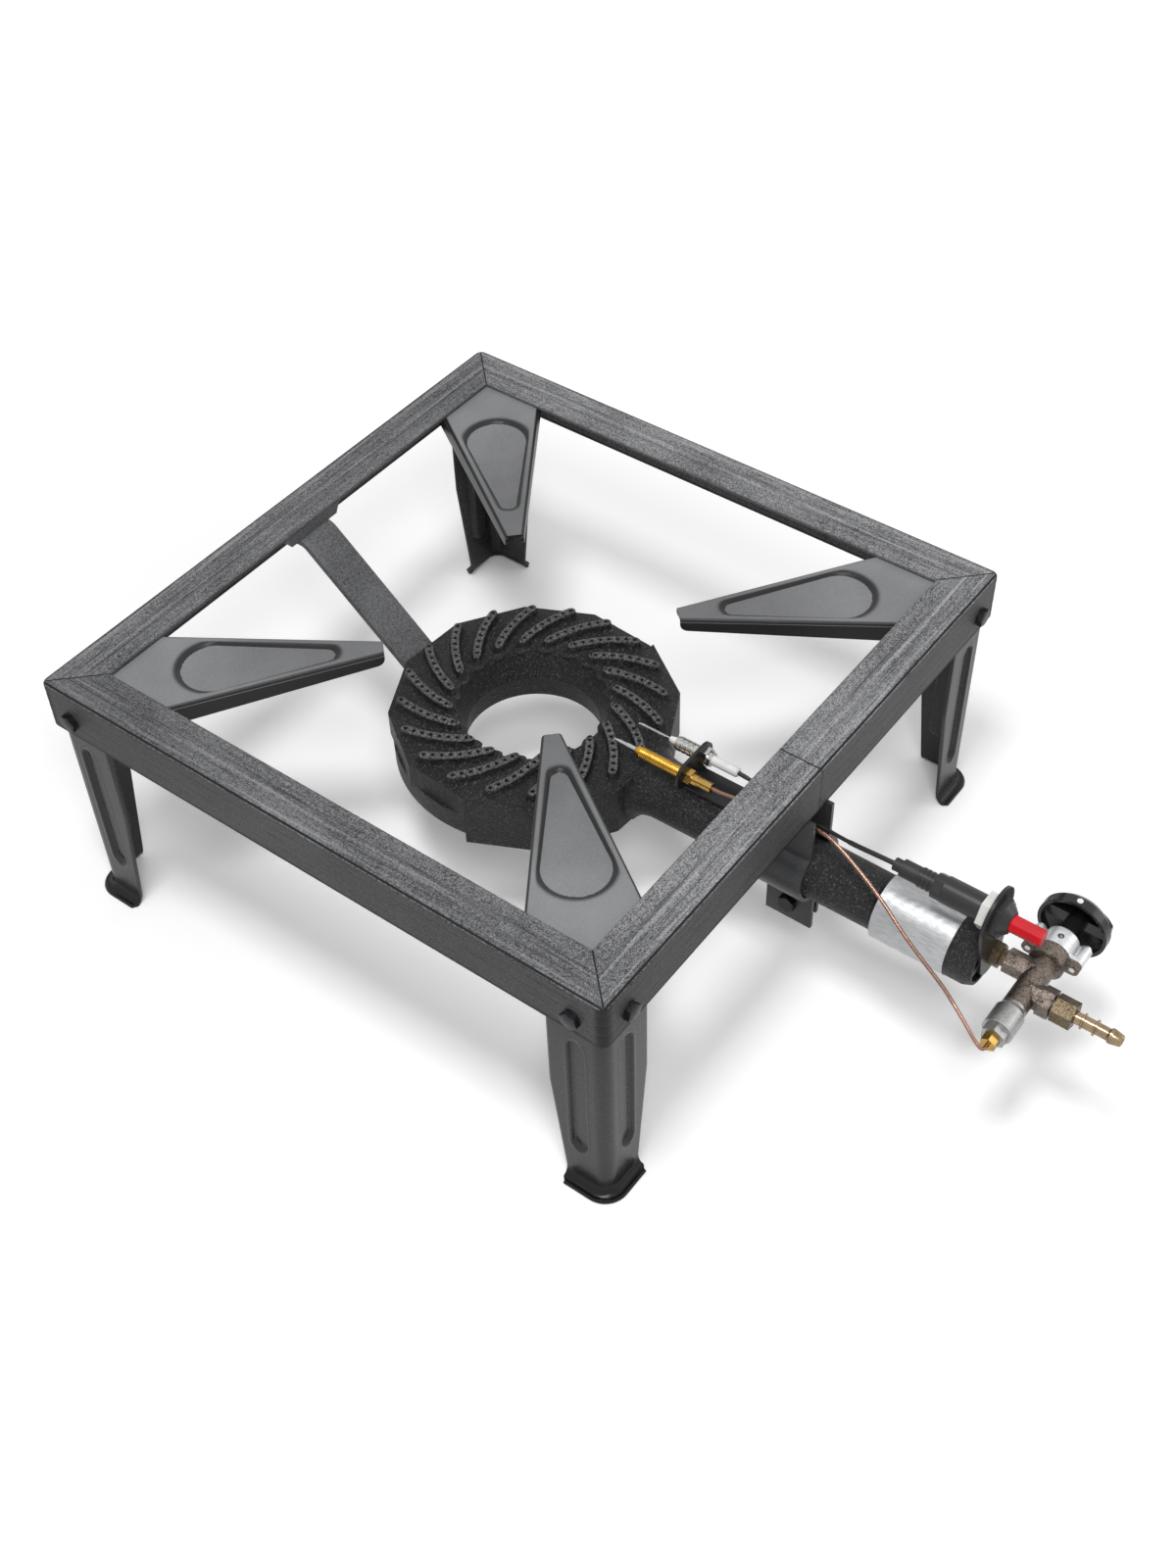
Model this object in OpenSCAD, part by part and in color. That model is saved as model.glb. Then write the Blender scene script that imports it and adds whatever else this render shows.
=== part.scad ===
// Four-legged gas burner: an angle-bar frame on pressed sheet legs, a cast swirl ring with its
// mixing tube, a thermocouple safety tap and a push-button spark igniter.
// Millimetres, +Z up. The origin lies on the floor under the middle of the frame, and the gas
// side points to -Y.

/* [Frame] */
// Side length of the square frame
frame_side = 400; // [380:5:420]
// Height of the frame's top face above the floor
frame_top = 179; // [174:1:190]
// Height of the upright flange of the angle bar
frame_h = 33; // [31:0.5:35]
// Width of the flat top flange of the angle bar
frame_w = 28; // [26:0.5:30]
// Thickness of the angle bar
frame_t = 3; // [2.5:0.25:3.5]
// Outer radius of the bent corners
frame_r = 5; // [4.5:0.5:6]
// Width of the grooves rolled along the bar
groove_w = 1.2; // [0.8:0.1:1.6]
// Depth of the grooves rolled along the bar
groove_d = 0.4; // [0.2:0.1:0.6]

/* [Legs] */
// Thickness of the pressed leg sheet
leg_t = 2; // [1.5:0.25:2.5]
// Outer radius of the fold down each leg
leg_r = 8; // [7:0.5:9]
// Width of each leg face at the top
leg_w = 37.5; // [35:0.5:40]
// Width of each leg face above the foot
leg_foot_w = 28.5; // [27:0.5:31]
// Height at which the leg starts to taper
leg_taper_z = 86; // [60:1:110]
// Width of the flute pressed into each leg face
flute_w = 11; // [9:0.5:13]
// Depth of the flute pressed into each leg face
flute_d = 2.5; // [2:0.25:3]
// Inner radius of the outward roll of the foot
foot_r = 3; // [2:0.25:4]
// Flat length of the foot's lip
foot_lip = 2.5; // [1.5:0.25:4]

/* [Pan arms] */
// Thickness of the arm sheet
arm_t = 1.8; // [1.5:0.1:2.2]
// Distance from the middle of the frame to an arm's tip
arm_reach = 87; // [80:1:95]
// Width of an arm at its tip
arm_tip_w = 11.6; // [11:0.2:16]
// Width of an arm where it passes under the frame
arm_root_w = 62; // [58:1:66]
// Depth of the turned-down edge at the tip
arm_tip_h = 9; // [7:0.5:11]
// Depth of the turned-down edge at the frame
arm_root_h = 15; // [12:0.5:18]
// Depth of the pressed tear-drop
drop_d = 2.5; // [2:0.25:3]

/* [Corner bolts] */
// Thread diameter of the bolts
bolt_d = 6; // [5:0.5:6]
// Distance between flats of the bolt heads and nuts
bolt_af = 10; // [9:0.5:11]
// Height of a bolt head
bolt_head = 4; // [3.5:0.25:4.5]
// Height of a nut
nut_h = 5; // [4:0.25:5]
// Distance from the frame's outer face to each corner bolt
bolt_inset = 20.5; // [19:0.5:22]
// Distance from the frame's top face down to the corner bolts
bolt_drop = 20; // [18:0.5:22]

/* [Burner ring] */
// Distance of the ring's centre behind the middle of the frame
ring_y = 3; // [2:0.5:4]
// Distance from the frame's top face down to the ring's flat top
ring_drop = 65; // [62:1:68]
// Height of the ring body
ring_h = 35; // [34:0.5:37]
// Corner radius of the twelve-sided upper body
ring_r = 88; // [87:0.5:89]
// Radius of the round lower body
bowl_r = 86.5; // [86:0.25:87]
// Height of the twelve-sided upper body
ring_upper_h = 18; // [17:0.5:19]
// Radius of the centre hole at the top
hole_top_r = 47.2; // [46:0.2:48]
// Radius of the centre hole at the waist
hole_waist_r = 41; // [40:0.5:43]
// Radius of the centre hole at the bottom
hole_low_r = 43.7; // [43:0.1:45]
// Number of swirl ribs
rib_count = 20; // [18:1:20]
// Height of the swirl ribs
rib_h = 6.5; // [5:0.5:8]
// Width of the swirl ribs
rib_w = 4.8; // [4.4:0.1:5]
// Radius of the circle at the ribs' inner ends
rib_in_r = 52; // [51.5:0.25:53]
// Radius of the circle at the ribs' outer ends
rib_out_r = 79.5; // [78:0.5:80]
// Angle that a rib sweeps between its ends
rib_sweep = 23; // [21:0.5:25]
// Radius of a rib's own curve
rib_curve_r = 82; // [75:1:100]
// Number of gas ports in a rib
port_count = 8; // [6:1:8]
// Diameter of a gas port
port_d = 2.4; // [1.8:0.1:2.6]

/* [Mixing tube] */
// Distance from the ring's flat top down to the tube's axis
tube_drop = 15.5; // [14.5:0.25:16]
// Radius of the tube where it leaves the ring
tube_root_r = 18.3; // [18:0.1:18.8]
// Radius of the tube before the mixing chamber
tube_end_r = 17.3; // [17:0.1:17.8]
// Radius of the mixing chamber
chamber_r = 19.8; // [19:0.1:20.5]
// Radius of the bore in the tube
tube_bore_r = 12; // [11:0.25:12.5]
// Radius of the bore in the mixing chamber
chamber_bore_r = 15.8; // [15:0.1:16.4]
// Distance from the frame to the open end of the tube
tube_reach = 112; // [108:1:116]
// Length of the mixing chamber
chamber_l = 66; // [62:1:70]

/* [Rear strap] */
// Width of the strap
strap_w = 26; // [24:1:30]
// Thickness of the strap
strap_t = 4; // [3:0.25:4.5]
// Height of the bracket under the frame
bracket_h = 7.4; // [6.8:0.2:8]
// Length of the bracket under the frame
bracket_l = 48; // [44:1:52]

/* [Tube clamp] */
// Thickness of the clamp sheet
clamp_t = 2.5; // [2:0.25:3]
// Distance between the upright walls of the clamp
clamp_gap = 17; // [16:0.5:18]
// Length of the long lower tab below the tube's axis
tab_long = 50; // [46:0.5:54]
// Length of the short lower tab below the tube's axis
tab_short = 41; // [40:0.5:44]

/* [Pilot group] */
// Thickness of the pilot bracket
pilot_t = 2; // [1.5:0.25:2.5]
// Height of the thermocouple and the electrode above the tube's axis
pilot_rise = 31.5; // [30:0.5:33]
// Length of the pilot plate from its upright to its screw
pilot_strip_l = 44; // [42:1:46]
// Sideways place of the thermocouple
couple_x = -8; // [-9:0.25:-7]
// Sideways place of the electrode
spark_x = 11; // [10:0.25:12]
// Diameter of the thermocouple's body
couple_d = 6.6; // [6:0.1:7]
// Diameter of the electrode's ceramic
ceramic_d = 6; // [5.6:0.1:6.6]

/* [End plate and igniter] */
// Thickness of the end plate
plate_t = 2; // [1.5:0.25:2.5]
// Height of the igniter's axis above the tube's axis
igniter_rise = 36.5; // [35:0.5:38]
// Radius of the end plate round the igniter
plate_top_r = 17.5; // [16.5:0.25:19]
// Radius of the end plate round the injector
plate_low_r = 12.5; // [12:0.25:14]
// Diameter of the igniter's body
igniter_d = 16; // [15.6:0.1:17]
// Distance between flats of the igniter's nut
igniter_nut_af = 20; // [19:0.25:21]
// Distance between flats of the igniter's bezel
bezel_af = 22; // [21:0.25:23]
// Distance between flats of the push button
button_af = 9.4; // [9:0.1:9.8]
// Length of button that stands out of the bezel
button_out = 18.5; // [16:0.5:20]
// Travel of the push button
button_travel = 7; // [5:0.5:8]

/* [Gas tap] */
// Sideways place of the injector and the tap's outlet
outlet_x = 5; // [4:0.25:6]
// Sideways place of the tap's inlet
inlet_x = -8.5; // [-9:0.25:-8]
// Distance from the end plate to the tap's axis
tap_gap = 27; // [26:0.5:29]
// Outer diameter of the tap's barrel
barrel_d = 14.8; // [14.4:0.1:15.4]
// Distance between flats of the tap's outlet
outlet_af = 13; // [12.5:0.25:14]
// Distance between flats of the tap's inlet
inlet_af = 15.5; // [15:0.25:16.5]
// Diameter of the magnet unit
magnet_d = 17.7; // [17.2:0.1:18.2]
// Diameter of the spindle
spindle_d = 6; // [5.6:0.1:6.4]
// Travel of the spindle and the knob when the knob is pushed
push_travel = 3; // [2:0.25:3.5]
// Diameter of the bonnet
bonnet_d = 20; // [19.5:0.25:21]
// Distance of the bonnet's screws from the spindle
lug_reach = 13.5; // [13:0.25:14]

/* [Hose nozzle] */
// Distance between flats of the union nut
union_af = 14.5; // [14:0.25:15.5]
// Diameter of the nozzle's stem
stem_d = 7.3; // [7:0.1:7.6]
// Diameter over the nozzle's barbs
barb_d = 9; // [8.6:0.1:9.4]
// Length of the nozzle outside the union nut
nozzle_l = 28; // [26:0.5:30]

/* [Knob] */
// Outer diameter of the knob
knob_d = 42; // [41:0.5:44]
// Depth of the knob's straight skirt
knob_skirt = 6; // [5:0.5:7]
// Full depth of the knob's dome
knob_depth = 17; // [16:0.5:18]
// Thickness of the knob's wall
knob_t = 2; // [1.6:0.1:2.2]

/* [Leads] */
// Diameter of the thermocouple's copper lead
copper_d = 2.2; // [1.8:0.1:2.4]
// Diameter of the igniter's lead
lead_d = 2.4; // [2:0.1:2.6]

/* [Hidden] */
$fn = 48;

// How far a cutting shape runs past the face that it cuts
cut = 1;
// Running clearance of a turning or sliding fit
fit = 0.05;
// Clearance of a bolt in its hole
slack = 0.3;

frame_half = frame_side / 2;
frame_low = frame_top - frame_h;
leg_face = frame_half - frame_t;
leg_in = leg_face - leg_t;
arm_top = frame_top - frame_t;
bolt_z = frame_top - bolt_drop;
bolt_at = frame_half - bolt_inset;
window = frame_half - frame_w;
groove_top_shares = [0.38, 0.62];
groove_side_shares = [0.3, 0.55, 0.8];
mitre_gap = 0.4;
butt_d = 0.8;

leg_gap = 0.5;
leg_top = arm_top - leg_gap;
leg_chamfer = 4;
foot_h = foot_r + leg_t;
flute_at = 19;
flute_low = 38;
flute_high = 127;
flute_r = (pow(flute_w / 2, 2) + pow(flute_d, 2)) / (2 * flute_d);
bolt_length = 14;

arm_bend_r = 0.8;
arm_fold = arm_t + arm_bend_r;
diagonal = sqrt(2);
arm_root = window * diagonal - arm_root_w / 2;
arm_slope = atan((arm_root_w - arm_tip_w) / 2 / (arm_root - arm_reach));
arm_wide = (leg_in * diagonal - arm_tip_w / 2 + tan(arm_slope) * arm_reach) / (1 + tan(arm_slope));
arm_wide_half = leg_in * diagonal - arm_wide;
arm_nose = 6;
arm_side = (arm_wide - arm_reach) / cos(arm_slope) - arm_root_h / 2;
tab_h = 26;
tab_end = leg_face - leg_r - leg_t;
drop_small_at = 0.264 * (arm_root - arm_reach);
drop_small_r = 6.5;
drop_big_at = 0.783 * (arm_root - arm_reach);
drop_big_r = 20.5;
drop_slope = 2.2;
drop_soft = 2;
drop_fn = 32;

ring_top = frame_top - ring_drop;
ring_low = ring_top - ring_h;
ring_split = ring_top - ring_upper_h;
ring_edge = 3;
ring_turn = 11;
ring_wall = 3.5;
front_r = 90.5;
hole_slope = (hole_top_r - hole_waist_r) / ring_upper_h;
rib_root = 1;
rib_first = 2;
channel_in_r = 53.5;
channel_wall = 4.5;
channel_out_r = min(ring_r * cos(15), bowl_r) - ring_wall;
tube_z = ring_top - tube_drop;
tube_end = frame_half + tube_reach;
chamber_start = tube_end - chamber_l;
chamber_edge = 5;
tube_face = front_r * cos(15) - ring_y;
tube_flare = 14;
tube_flare_r = 7;
flare_steps = 6;
hub_r = 8.5;
hub_l = 12;
spoke_h = 5;
injector_r = 5;
pad_w = 15;
pad_rise = 19.5;
pad_l = 44;
pad_gap = 4.5;
boss_t = 1;
boss_face = ring_y + max(ring_r * cos(15), bowl_r) + boss_t;

bracket_t = 2.5;
bracket_low = arm_top - bracket_h;
bracket_depth = 22;
bracket_chamfer = 3.5;
strap_z = bracket_low - strap_t / 2;
strap_knee_y = 2.4;
strap_knee_z = 13.2;
strap_foot_gap = 1;
strap_bolt_rise = 8;
strap_bend_y = window - strap_knee_y;
strap_drop_z = ring_top - strap_knee_z;
strap_end_z = ring_low + strap_foot_gap;
strap_bend_r = 9;
strap_bolt_y = window + bracket_depth / 2;
strap_bolt_z = ring_low + strap_bolt_rise;
bend_steps = 6;

clamp_shift = 0.5;
clamp_out = 3.5;
clamp_start = window + clamp_shift;
clamp_end = frame_half + clamp_out;
clamp_inner_end = leg_face - slack;
pad_end = clamp_start - pad_gap;
pad_start = pad_end - pad_l;
clamp_seat = 0.3;
clamp_lip = 14;
clamp_bore = tube_root_r + clamp_seat;
clamp_mid = clamp_bore + clamp_t / 2;
clamp_wall = clamp_gap / 2 + clamp_t / 2;
tab_half = 1.5;
tab_mid = tab_half + clamp_t / 2;
clamp_step = 1;
clamp_low = frame_low - clamp_step;
clamp_bolt_at = (clamp_start + clamp_end) / 2;
clamp_bolt_drop = 35;
clamp_bolt_z = tube_z - clamp_bolt_drop;
clamp_steps = 24;

pilot_z = tube_z + pilot_rise;
pilot_strip_w = 19;
pilot_strip_x = 2;
pilot_lobe_r = 8.5;
pilot_screw_back = 10;
pilot_screw_at = pad_end - pilot_screw_back;
pilot_at = pilot_screw_at - pilot_strip_l;
pilot_screw_in = 3;
pilot_screw_d = 4;
pilot_screw_head = 2.6;
pilot_screw_af = 7;
couple_front = 33;
couple_nose = 2;
couple_tip_l = 16;
couple_tip_d = 3;
couple_tip_step = 0.6;
couple_point_d = 1;
couple_point_l = 4;
couple_thin_l = 5;
couple_collar_d = 9;
couple_collar_l = 5;
couple_rear = 18;
couple_gland_d = 6;
couple_ring_d = 7;
couple_ring_l = 4;
ceramic_front = 22;
ceramic_rear = 24;
ceramic_edge = 1;
ceramic_end_d = 4.6;
ceramic_tip_d = 3.6;
ceramic_cone_d = 5.2;
ceramic_cone_l = 5;
holder_l = 17;
holder_d = 9;
holder_core_d = 8;
holder_first = 1.5;
holder_step = 3.6;
holder_ring_l = 2.4;
holder_rings = 4;
spark_nut_d = 9;
spark_nut_af = 11;
spark_nut_h = 6;
spark_nut_hex_h = 3.4;
rod_d = 1.6;
rod_reach = 44.5;
// Bends of the electrode's wire, behind its front and above its axis
rod_bends = [[-3, -6], [-1.5, -3], [0, -0.6], [2, 0], [8, 0]];

plate_at = tube_end;
plate_face = plate_at + plate_t;
igniter_z = tube_z + igniter_rise;
igniter_nut_h = 6.5;
thread_d = 14.5;
body_back = 36;
body_square = 14.4;
body_square_l = 5.5;
neck_back = 46.5;
neck_d = 10.8;
neck_rib_d = 11.8;
neck_rib_l = 1.4;
neck_rib_step = 2.7;
neck_ribs = 4;
bezel_h = 4;
bezel_cone_h = 4.5;
bezel_cone_d = 13;
shank_d = button_af / cos(22.5) + slack;
shank_l = 14;
shank_bore_l = 32;
igniter_wire = 0.45;
igniter_spring_d = 8.5;
igniter_turns = 8;
boot_l = 15.5;
boot_thin_d = 7.7;
boot_thin_l = 5;
boot_d = 10.5;
boot_hole_l = 8;

tap_at = plate_face + tap_gap;
tap_z = tube_z;
barrel_left = 22;
collar_x = 13.5;
collar_edge = 1;
collar_d = 21;
bonnet_x = 22.7;
lug_l = 4.2;
lug_r = 4;
magnet_l = 24.5;
magnet_ring_d = 14.4;
magnet_ring_l = 2;
magnet_cone_l = 3;
magnet_hex_l = 5;
magnet_hex_af = 13;
lead_nut_af = 8.5;
lead_nut_l = 5.5;
plug_start = -3;
plug_l = 20.5;
plug_small_r = 4.4;
plug_big_r = 5;
plug_port_d = 4;
pin_d = 3;
spindle_in = 12;
disc_d = 9;
disc_h = 2.5;
chamber_d = 11;
chamber_depth = 16;
bonnet_l = 12.5;
bonnet_foot = 3;
bonnet_wall = 4;
bonnet_bore_d = 14;
bonnet_end = bonnet_x + bonnet_l;
vent_d = 3.6;
collar_l = 2;
spindle_collar_d = 11;
spindle_start = plug_start + plug_l - spindle_in + push_travel + slack;
disc_face = -barrel_left - slack;
spring_wire = 0.5;
spring_d = 8.4;
plunger_spring_d = 7;
spring_turns = 5;
bonnet_screw_d = 3.4;
bonnet_screw_head_d = 6;
bonnet_screw_head_h = 1.6;
injector_nose = 4;
injector_nut_af = 13.5;
outlet_l = 19;
inlet_boss_af = 13;
inlet_boss_l = 9;
inlet_l = 16.5;
thread_l = 6.5;
thread_r = 5.4;
gas_r = 2.2;
nozzle_head = 2;
union_l = 12;
union_gap = 1;
seal_t = 1.2;
nozzle_bore_d = 4.6;
barb_land = 1.2;
tip_land = 3;
ridge_shares = [0.68, 0.42];
tip_d = 6.6;
tip_l = 7;
knob_gap = 9.5;
knob_x = bonnet_end + knob_gap;
knob_hub_d = 12;
hub_gap = 0.4;
hub_x = bonnet_end + push_travel + hub_gap;
spindle_gap = 1.7;
spindle_end = knob_x + knob_depth - knob_t - spindle_gap;
flat_l = 9;
grip_w = 8;
grip_rise = 2.5;
flat_share = 0.72;

copper_rear = pilot_at + pilot_t + couple_rear;
spark_rear = pilot_at + pilot_t + ceramic_rear;
// Hand-laid points of the leads from the pilot, bolt, end plate or tap
copper_pilot_points = [[-8, -8, 31.9], [-7.2, -26, 34.5]];
copper_clamp_points = [[-6.3, 0, 38.6], [-6.2, -14, 40], [-8, -28, 38.5]];
copper_tap_points = [[-13, 105.5, 32.5], [-20, 86.4, 27.1], [-29, 66.5, 21.1], [-36.5, 49.5, 17.9],
    [-43, 34.5, 15.5], [-49.5, 22, 13], [-53.6, 12, 7.7], [-55.8, 5.5, 3.1], [-56.4, 1.4, 0.8],
    [-54.2, 0, 0]];
spark_plate_points = [[0, 59, 36.5], [0.2, 68, 35.9], [2, 90, 32.5]];
spark_clamp_points = [[4.2, -16, 30.5], [5.4, 0, 30]];
spark_pilot_points = [[8, -26, 30.1], [10.4, -10, 31.1]];
// Points laid back from the distance y, at the tube's height
function laid(y, points) = [for (p = points) p + [0, -y, tube_z]];
// Middle of the copper lead
copper_route = concat(laid(copper_rear, concat([[couple_x, 0, pilot_rise]], copper_pilot_points)),
    laid(clamp_bolt_at, copper_clamp_points),
    laid(tap_at, concat(copper_tap_points, [[-barrel_left - magnet_l - lead_nut_l / 2, 0, 0]])));
// Middle of the igniter's lead
spark_route = concat(laid(plate_at, spark_plate_points), laid(clamp_bolt_at, spark_clamp_points),
    laid(spark_rear, concat(spark_pilot_points, [[spark_x, 0, pilot_rise]])));

// Unit vector along v
function unit(v) = v / norm(v);
// Vector v turned a quarter turn to its left
function left(v) = [-v[1], v[0]];
// Vector v turned by the angle a
function turned(v, a) = [v[0] * cos(a) - v[1] * sin(a), v[0] * sin(a) + v[1] * cos(a)];
// Points of a bend of radius r at the corner b between a and c
function bend(a, b, c, r, n) = let(
    u = unit(b - a),
    w = unit(c - b),
    turn = atan2(u[0] * w[1] - u[1] * w[0], u * w),
    p = b - u * r * tan(abs(turn) / 2),
    o = p + left(u) * r * sign(turn))
    [for (i = [0 : n]) o + turned(p - o, turn * i / n)];
// Direction of a chain of points at point i
function heading(p, i) = unit(p[min(i + 1, len(p) - 1)] - p[max(i - 1, 0)]);
// Outline of a sheet of thickness t whose middle follows the chain p
function ribbon(p, t) = concat(
    [for (i = [0 : len(p) - 1]) p[i] + left(heading(p, i)) * t / 2],
    [for (i = [len(p) - 1 : -1 : 0]) p[i] - left(heading(p, i)) * t / 2]);
// Point of a smooth curve through the route p, the share s of the way from point i to i + 1
function curve(p, i, s) = let(
    a = p[max(i - 1, 0)],
    b = p[i],
    c = p[i + 1],
    d = p[min(i + 2, len(p) - 1)])
    (2 * b + (c - a) * s + (2 * a - 5 * b + 4 * c - d) * s * s
        + (3 * b - a - 3 * c + d) * s * s * s) / 2;
// Smooth curve through the route p with n steps from point to point
function smooth(p, n) = concat(
    [for (i = [0 : len(p) - 2]) for (k = [0 : n - 1]) curve(p, i, k / n)],
    [p[len(p) - 1]]);
// Least gap between turns of a wire along p, with n points to a turn
function least_gap(p, r, n) = min([for (i = [0 : len(p) - n]) for (j = [i + n - 1 : len(p) - 1])
    norm(p[i] - p[j])]) - 2 * r;
// Tangent points of the outline round a circle r1 at the origin and a circle r2 at distance d up
function tangent_points(r1, r2, d) = let(a = asin((r1 - r2) / d))
    [[r1 * cos(a), r1 * sin(a)], [r2 * cos(a), d + r2 * sin(a)],
    [-r2 * cos(a), d + r2 * sin(a)], [-r1 * cos(a), r1 * sin(a)]];

// Round wire of radius r along the points p, with sides set out from up
module wire(p, r, sides, up) {
    last = len(p) - 1;
    points = [for (i = [0 : last]) let(t = heading(p, i), n = unit(cross(t, up)), b = cross(t, n))
        for (k = [0 : sides - 1]) p[i] + r * (n * cos(360 * k / sides) + b * sin(360 * k / sides))];
    walls = [for (i = [0 : last - 1]) for (k = [0 : sides - 1])
        let(a = i * sides + k, b = i * sides + (k + 1) % sides)
        each [[a, a + sides, b + sides], [a, b + sides, b]]];
    start = [for (k = [1 : sides - 2]) [0, k, k + 1]];
    end = [for (k = [1 : sides - 2]) [last * sides, last * sides + k + 1, last * sides + k]];
    polyhedron(points, concat(walls, start, end));
}

// Helical spring along +Z with its first end at z 0
module spring(d, wire_r, length, turns) {
    n = 8;
    p = [for (i = [0 : n * turns]) [d / 2 * cos(360 * i / n), d / 2 * sin(360 * i / n),
        wire_r + (length - 2 * wire_r) * i / (n * turns)]];
    echo(least_gap = least_gap(p, wire_r, n));
    wire(p, wire_r, 6, [0, 0, 1]);
}

// Square outline with round corners
module round_square(side, r) {
    square([side, side - 2 * r], center = true);
    square([side - 2 * r, side], center = true);
    for (x = [-1, 1], y = [-1, 1])
        translate([x * (side / 2 - r), y * (side / 2 - r)])
            circle(r);
}

// Outline round a circle r1 at the origin and a circle r2 at distance d up
module egg(r1, r2, d) {
    circle(r1);
    translate([0, d])
        circle(r2);
    polygon(tangent_points(r1, r2, d));
}

// Six-sided prism along +Z by its distance between flats
module hex(af, h) {
    cylinder(d = af / cos(30), h = h, $fn = 6);
}

// Places its children with +Z pointing to -Y, from the distance y
module outward(x, y, z) {
    translate([x, -y, z])
        rotate([90, 0, 0])
            children();
}

// Places its children with their +Z along +X on the tap's axis
module tap_axis(x) {
    translate([x, -tap_at, tap_z])
        rotate([0, 90, 0])
            children();
}

// Repeats its children at the four corners
module corners() {
    for (k = [0 : 3])
        rotate([0, 0, 90 * k])
            children();
}

// Repeats its children on both sides of the corner that they meet at
module both_faces() {
    children();
    mirror([1, -1, 0])
        children();
}

// Square angle-bar frame with rolled grooves, mitre lines and one butt joint
module frame() {
    color("#3b3d40")
    difference() {
        union() {
            translate([0, 0, arm_top])
                linear_extrude(frame_t)
                    difference() {
                        round_square(frame_side, frame_r);
                        square(2 * window, center = true);
                    }
            translate([0, 0, frame_low])
                linear_extrude(frame_h - frame_t / 2)
                    difference() {
                        round_square(frame_side, frame_r);
                        round_square(2 * leg_face, frame_r - frame_t);
                    }
        }
        for (s = groove_top_shares)
            translate([0, 0, frame_top - groove_d])
                linear_extrude(groove_d + cut)
                    difference() {
                        square(frame_side - 2 * s * frame_w, center = true);
                        square(frame_side - 2 * s * frame_w - 2 * groove_w, center = true);
                    }
        for (s = groove_side_shares)
            translate([0, 0, frame_low + s * frame_h])
                linear_extrude(groove_w)
                    difference() {
                        square(frame_side + 2 * cut, center = true);
                        round_square(frame_side - 2 * groove_d, frame_r - groove_d);
                    }
        corners()
            rotate([0, 0, 45])
                translate([(window - cut) * diagonal, -mitre_gap / 2, arm_top - cut])
                    cube([(frame_w - frame_r) * diagonal, mitre_gap, frame_t + 2 * cut]);
        corner_holes();
        for (z = [frame_top - butt_d, frame_low - cut])
            translate([-mitre_gap / 2, -frame_half - cut, z])
                cube([mitre_gap, butt_d + cut + (z > arm_top ? frame_w : 0),
                    z > arm_top ? frame_h : frame_h + cut]);
    }
}

// Holes for the corner bolts through every sheet at the corners
module corner_holes() {
    corners()
        both_faces()
            translate([frame_half + cut, bolt_at, bolt_z])
                rotate([0, -90, 0])
                    cylinder(d = bolt_d + 2 * slack, h = frame_t + leg_t + arm_t + 3 * cut);
}

// One face of a leg on the plane x 0, running along +Y from the fold, with its flute
module leg_face_sheet() {
    difference() {
        union() {
            rotate([90, 0, 90])
                linear_extrude(leg_t)
                    polygon([[leg_r, foot_h], [leg_foot_w, foot_h], [leg_w, leg_taper_z],
                        [leg_w, leg_top - leg_chamfer], [leg_w - leg_chamfer, leg_top],
                        [leg_r, leg_top]]);
            intersection() {
                flute(flute_r + leg_t);
                translate([0, 0, flute_low - flute_w])
                    cube([leg_t + flute_d + cut, leg_w, flute_high - flute_low + 2 * flute_w]);
            }
            translate([0, leg_foot_w, 0])
                rotate([90, 0, 0])
                    linear_extrude(leg_foot_w - leg_r)
                        foot_section();
        }
        flute(flute_r);
    }
}

// Round-ended rod that presses the flute
module flute(r) {
    translate([flute_d - flute_r, flute_at, flute_low])
        cylinder(r = r, h = flute_high - flute_low);
    for (z = [flute_low, flute_high])
        translate([flute_d - flute_r, flute_at, z])
            sphere(r);
}

// Section of the rolled foot, with the leg's outer face on x 0
module foot_section() {
    translate([-foot_r, foot_h])
        intersection() {
            difference() {
                circle(foot_h);
                circle(foot_r);
            }
            translate([0, -foot_h])
                square(foot_h);
        }
    translate([-foot_r - foot_lip, 0])
        square([foot_lip, leg_t]);
}

// One pressed leg with the outer corner of its fold on the z axis, facing -X and -Y
module leg() {
    leg_face_sheet();
    mirror([1, -1, 0])
        leg_face_sheet();
    translate([leg_r, leg_r, 0])
        rotate([0, 0, 180]) {
            rotate_extrude(angle = 90)
                translate([leg_r - leg_t, foot_h])
                    square([leg_t, leg_top - foot_h]);
            rotate_extrude(angle = 90)
                translate([leg_r, 0])
                    mirror([1, 0])
                        foot_section();
        }
}

// The leg at corner k, counted from the front left one
module leg_at(k) {
    color("#35373a")
    difference() {
        rotate([0, 0, 90 * k])
            translate([-leg_face, -leg_face, 0])
                leg();
        corner_holes();
    }
}

// Turned-down edge along the left side of an arm, from its tip
module arm_edge() {
    translate([arm_reach, arm_tip_w / 2, 0])
        rotate([0, 0, arm_slope])
            translate([-arm_fold, 0, 0]) {
                rotate([90, 0, 90])
                    linear_extrude(arm_side + arm_fold)
                        translate([-arm_fold, -arm_fold])
                            union() {
                                intersection() {
                                    difference() {
                                        circle(arm_fold);
                                        circle(arm_fold - arm_t);
                                    }
                                    square(arm_fold);
                                }
                                translate([-arm_t, arm_fold - arm_t])
                                    square([arm_t, arm_t]);
                                translate([arm_fold - arm_t, -arm_t])
                                    square([arm_t, arm_t]);
                            }
                rotate([90, 0, 0])
                    linear_extrude(arm_t)
                        polygon([[0, -arm_fold], [arm_side + arm_fold, -arm_fold],
                            [arm_side + arm_fold, -arm_root_h], [0, -arm_tip_h]]);
            }
}

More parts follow.
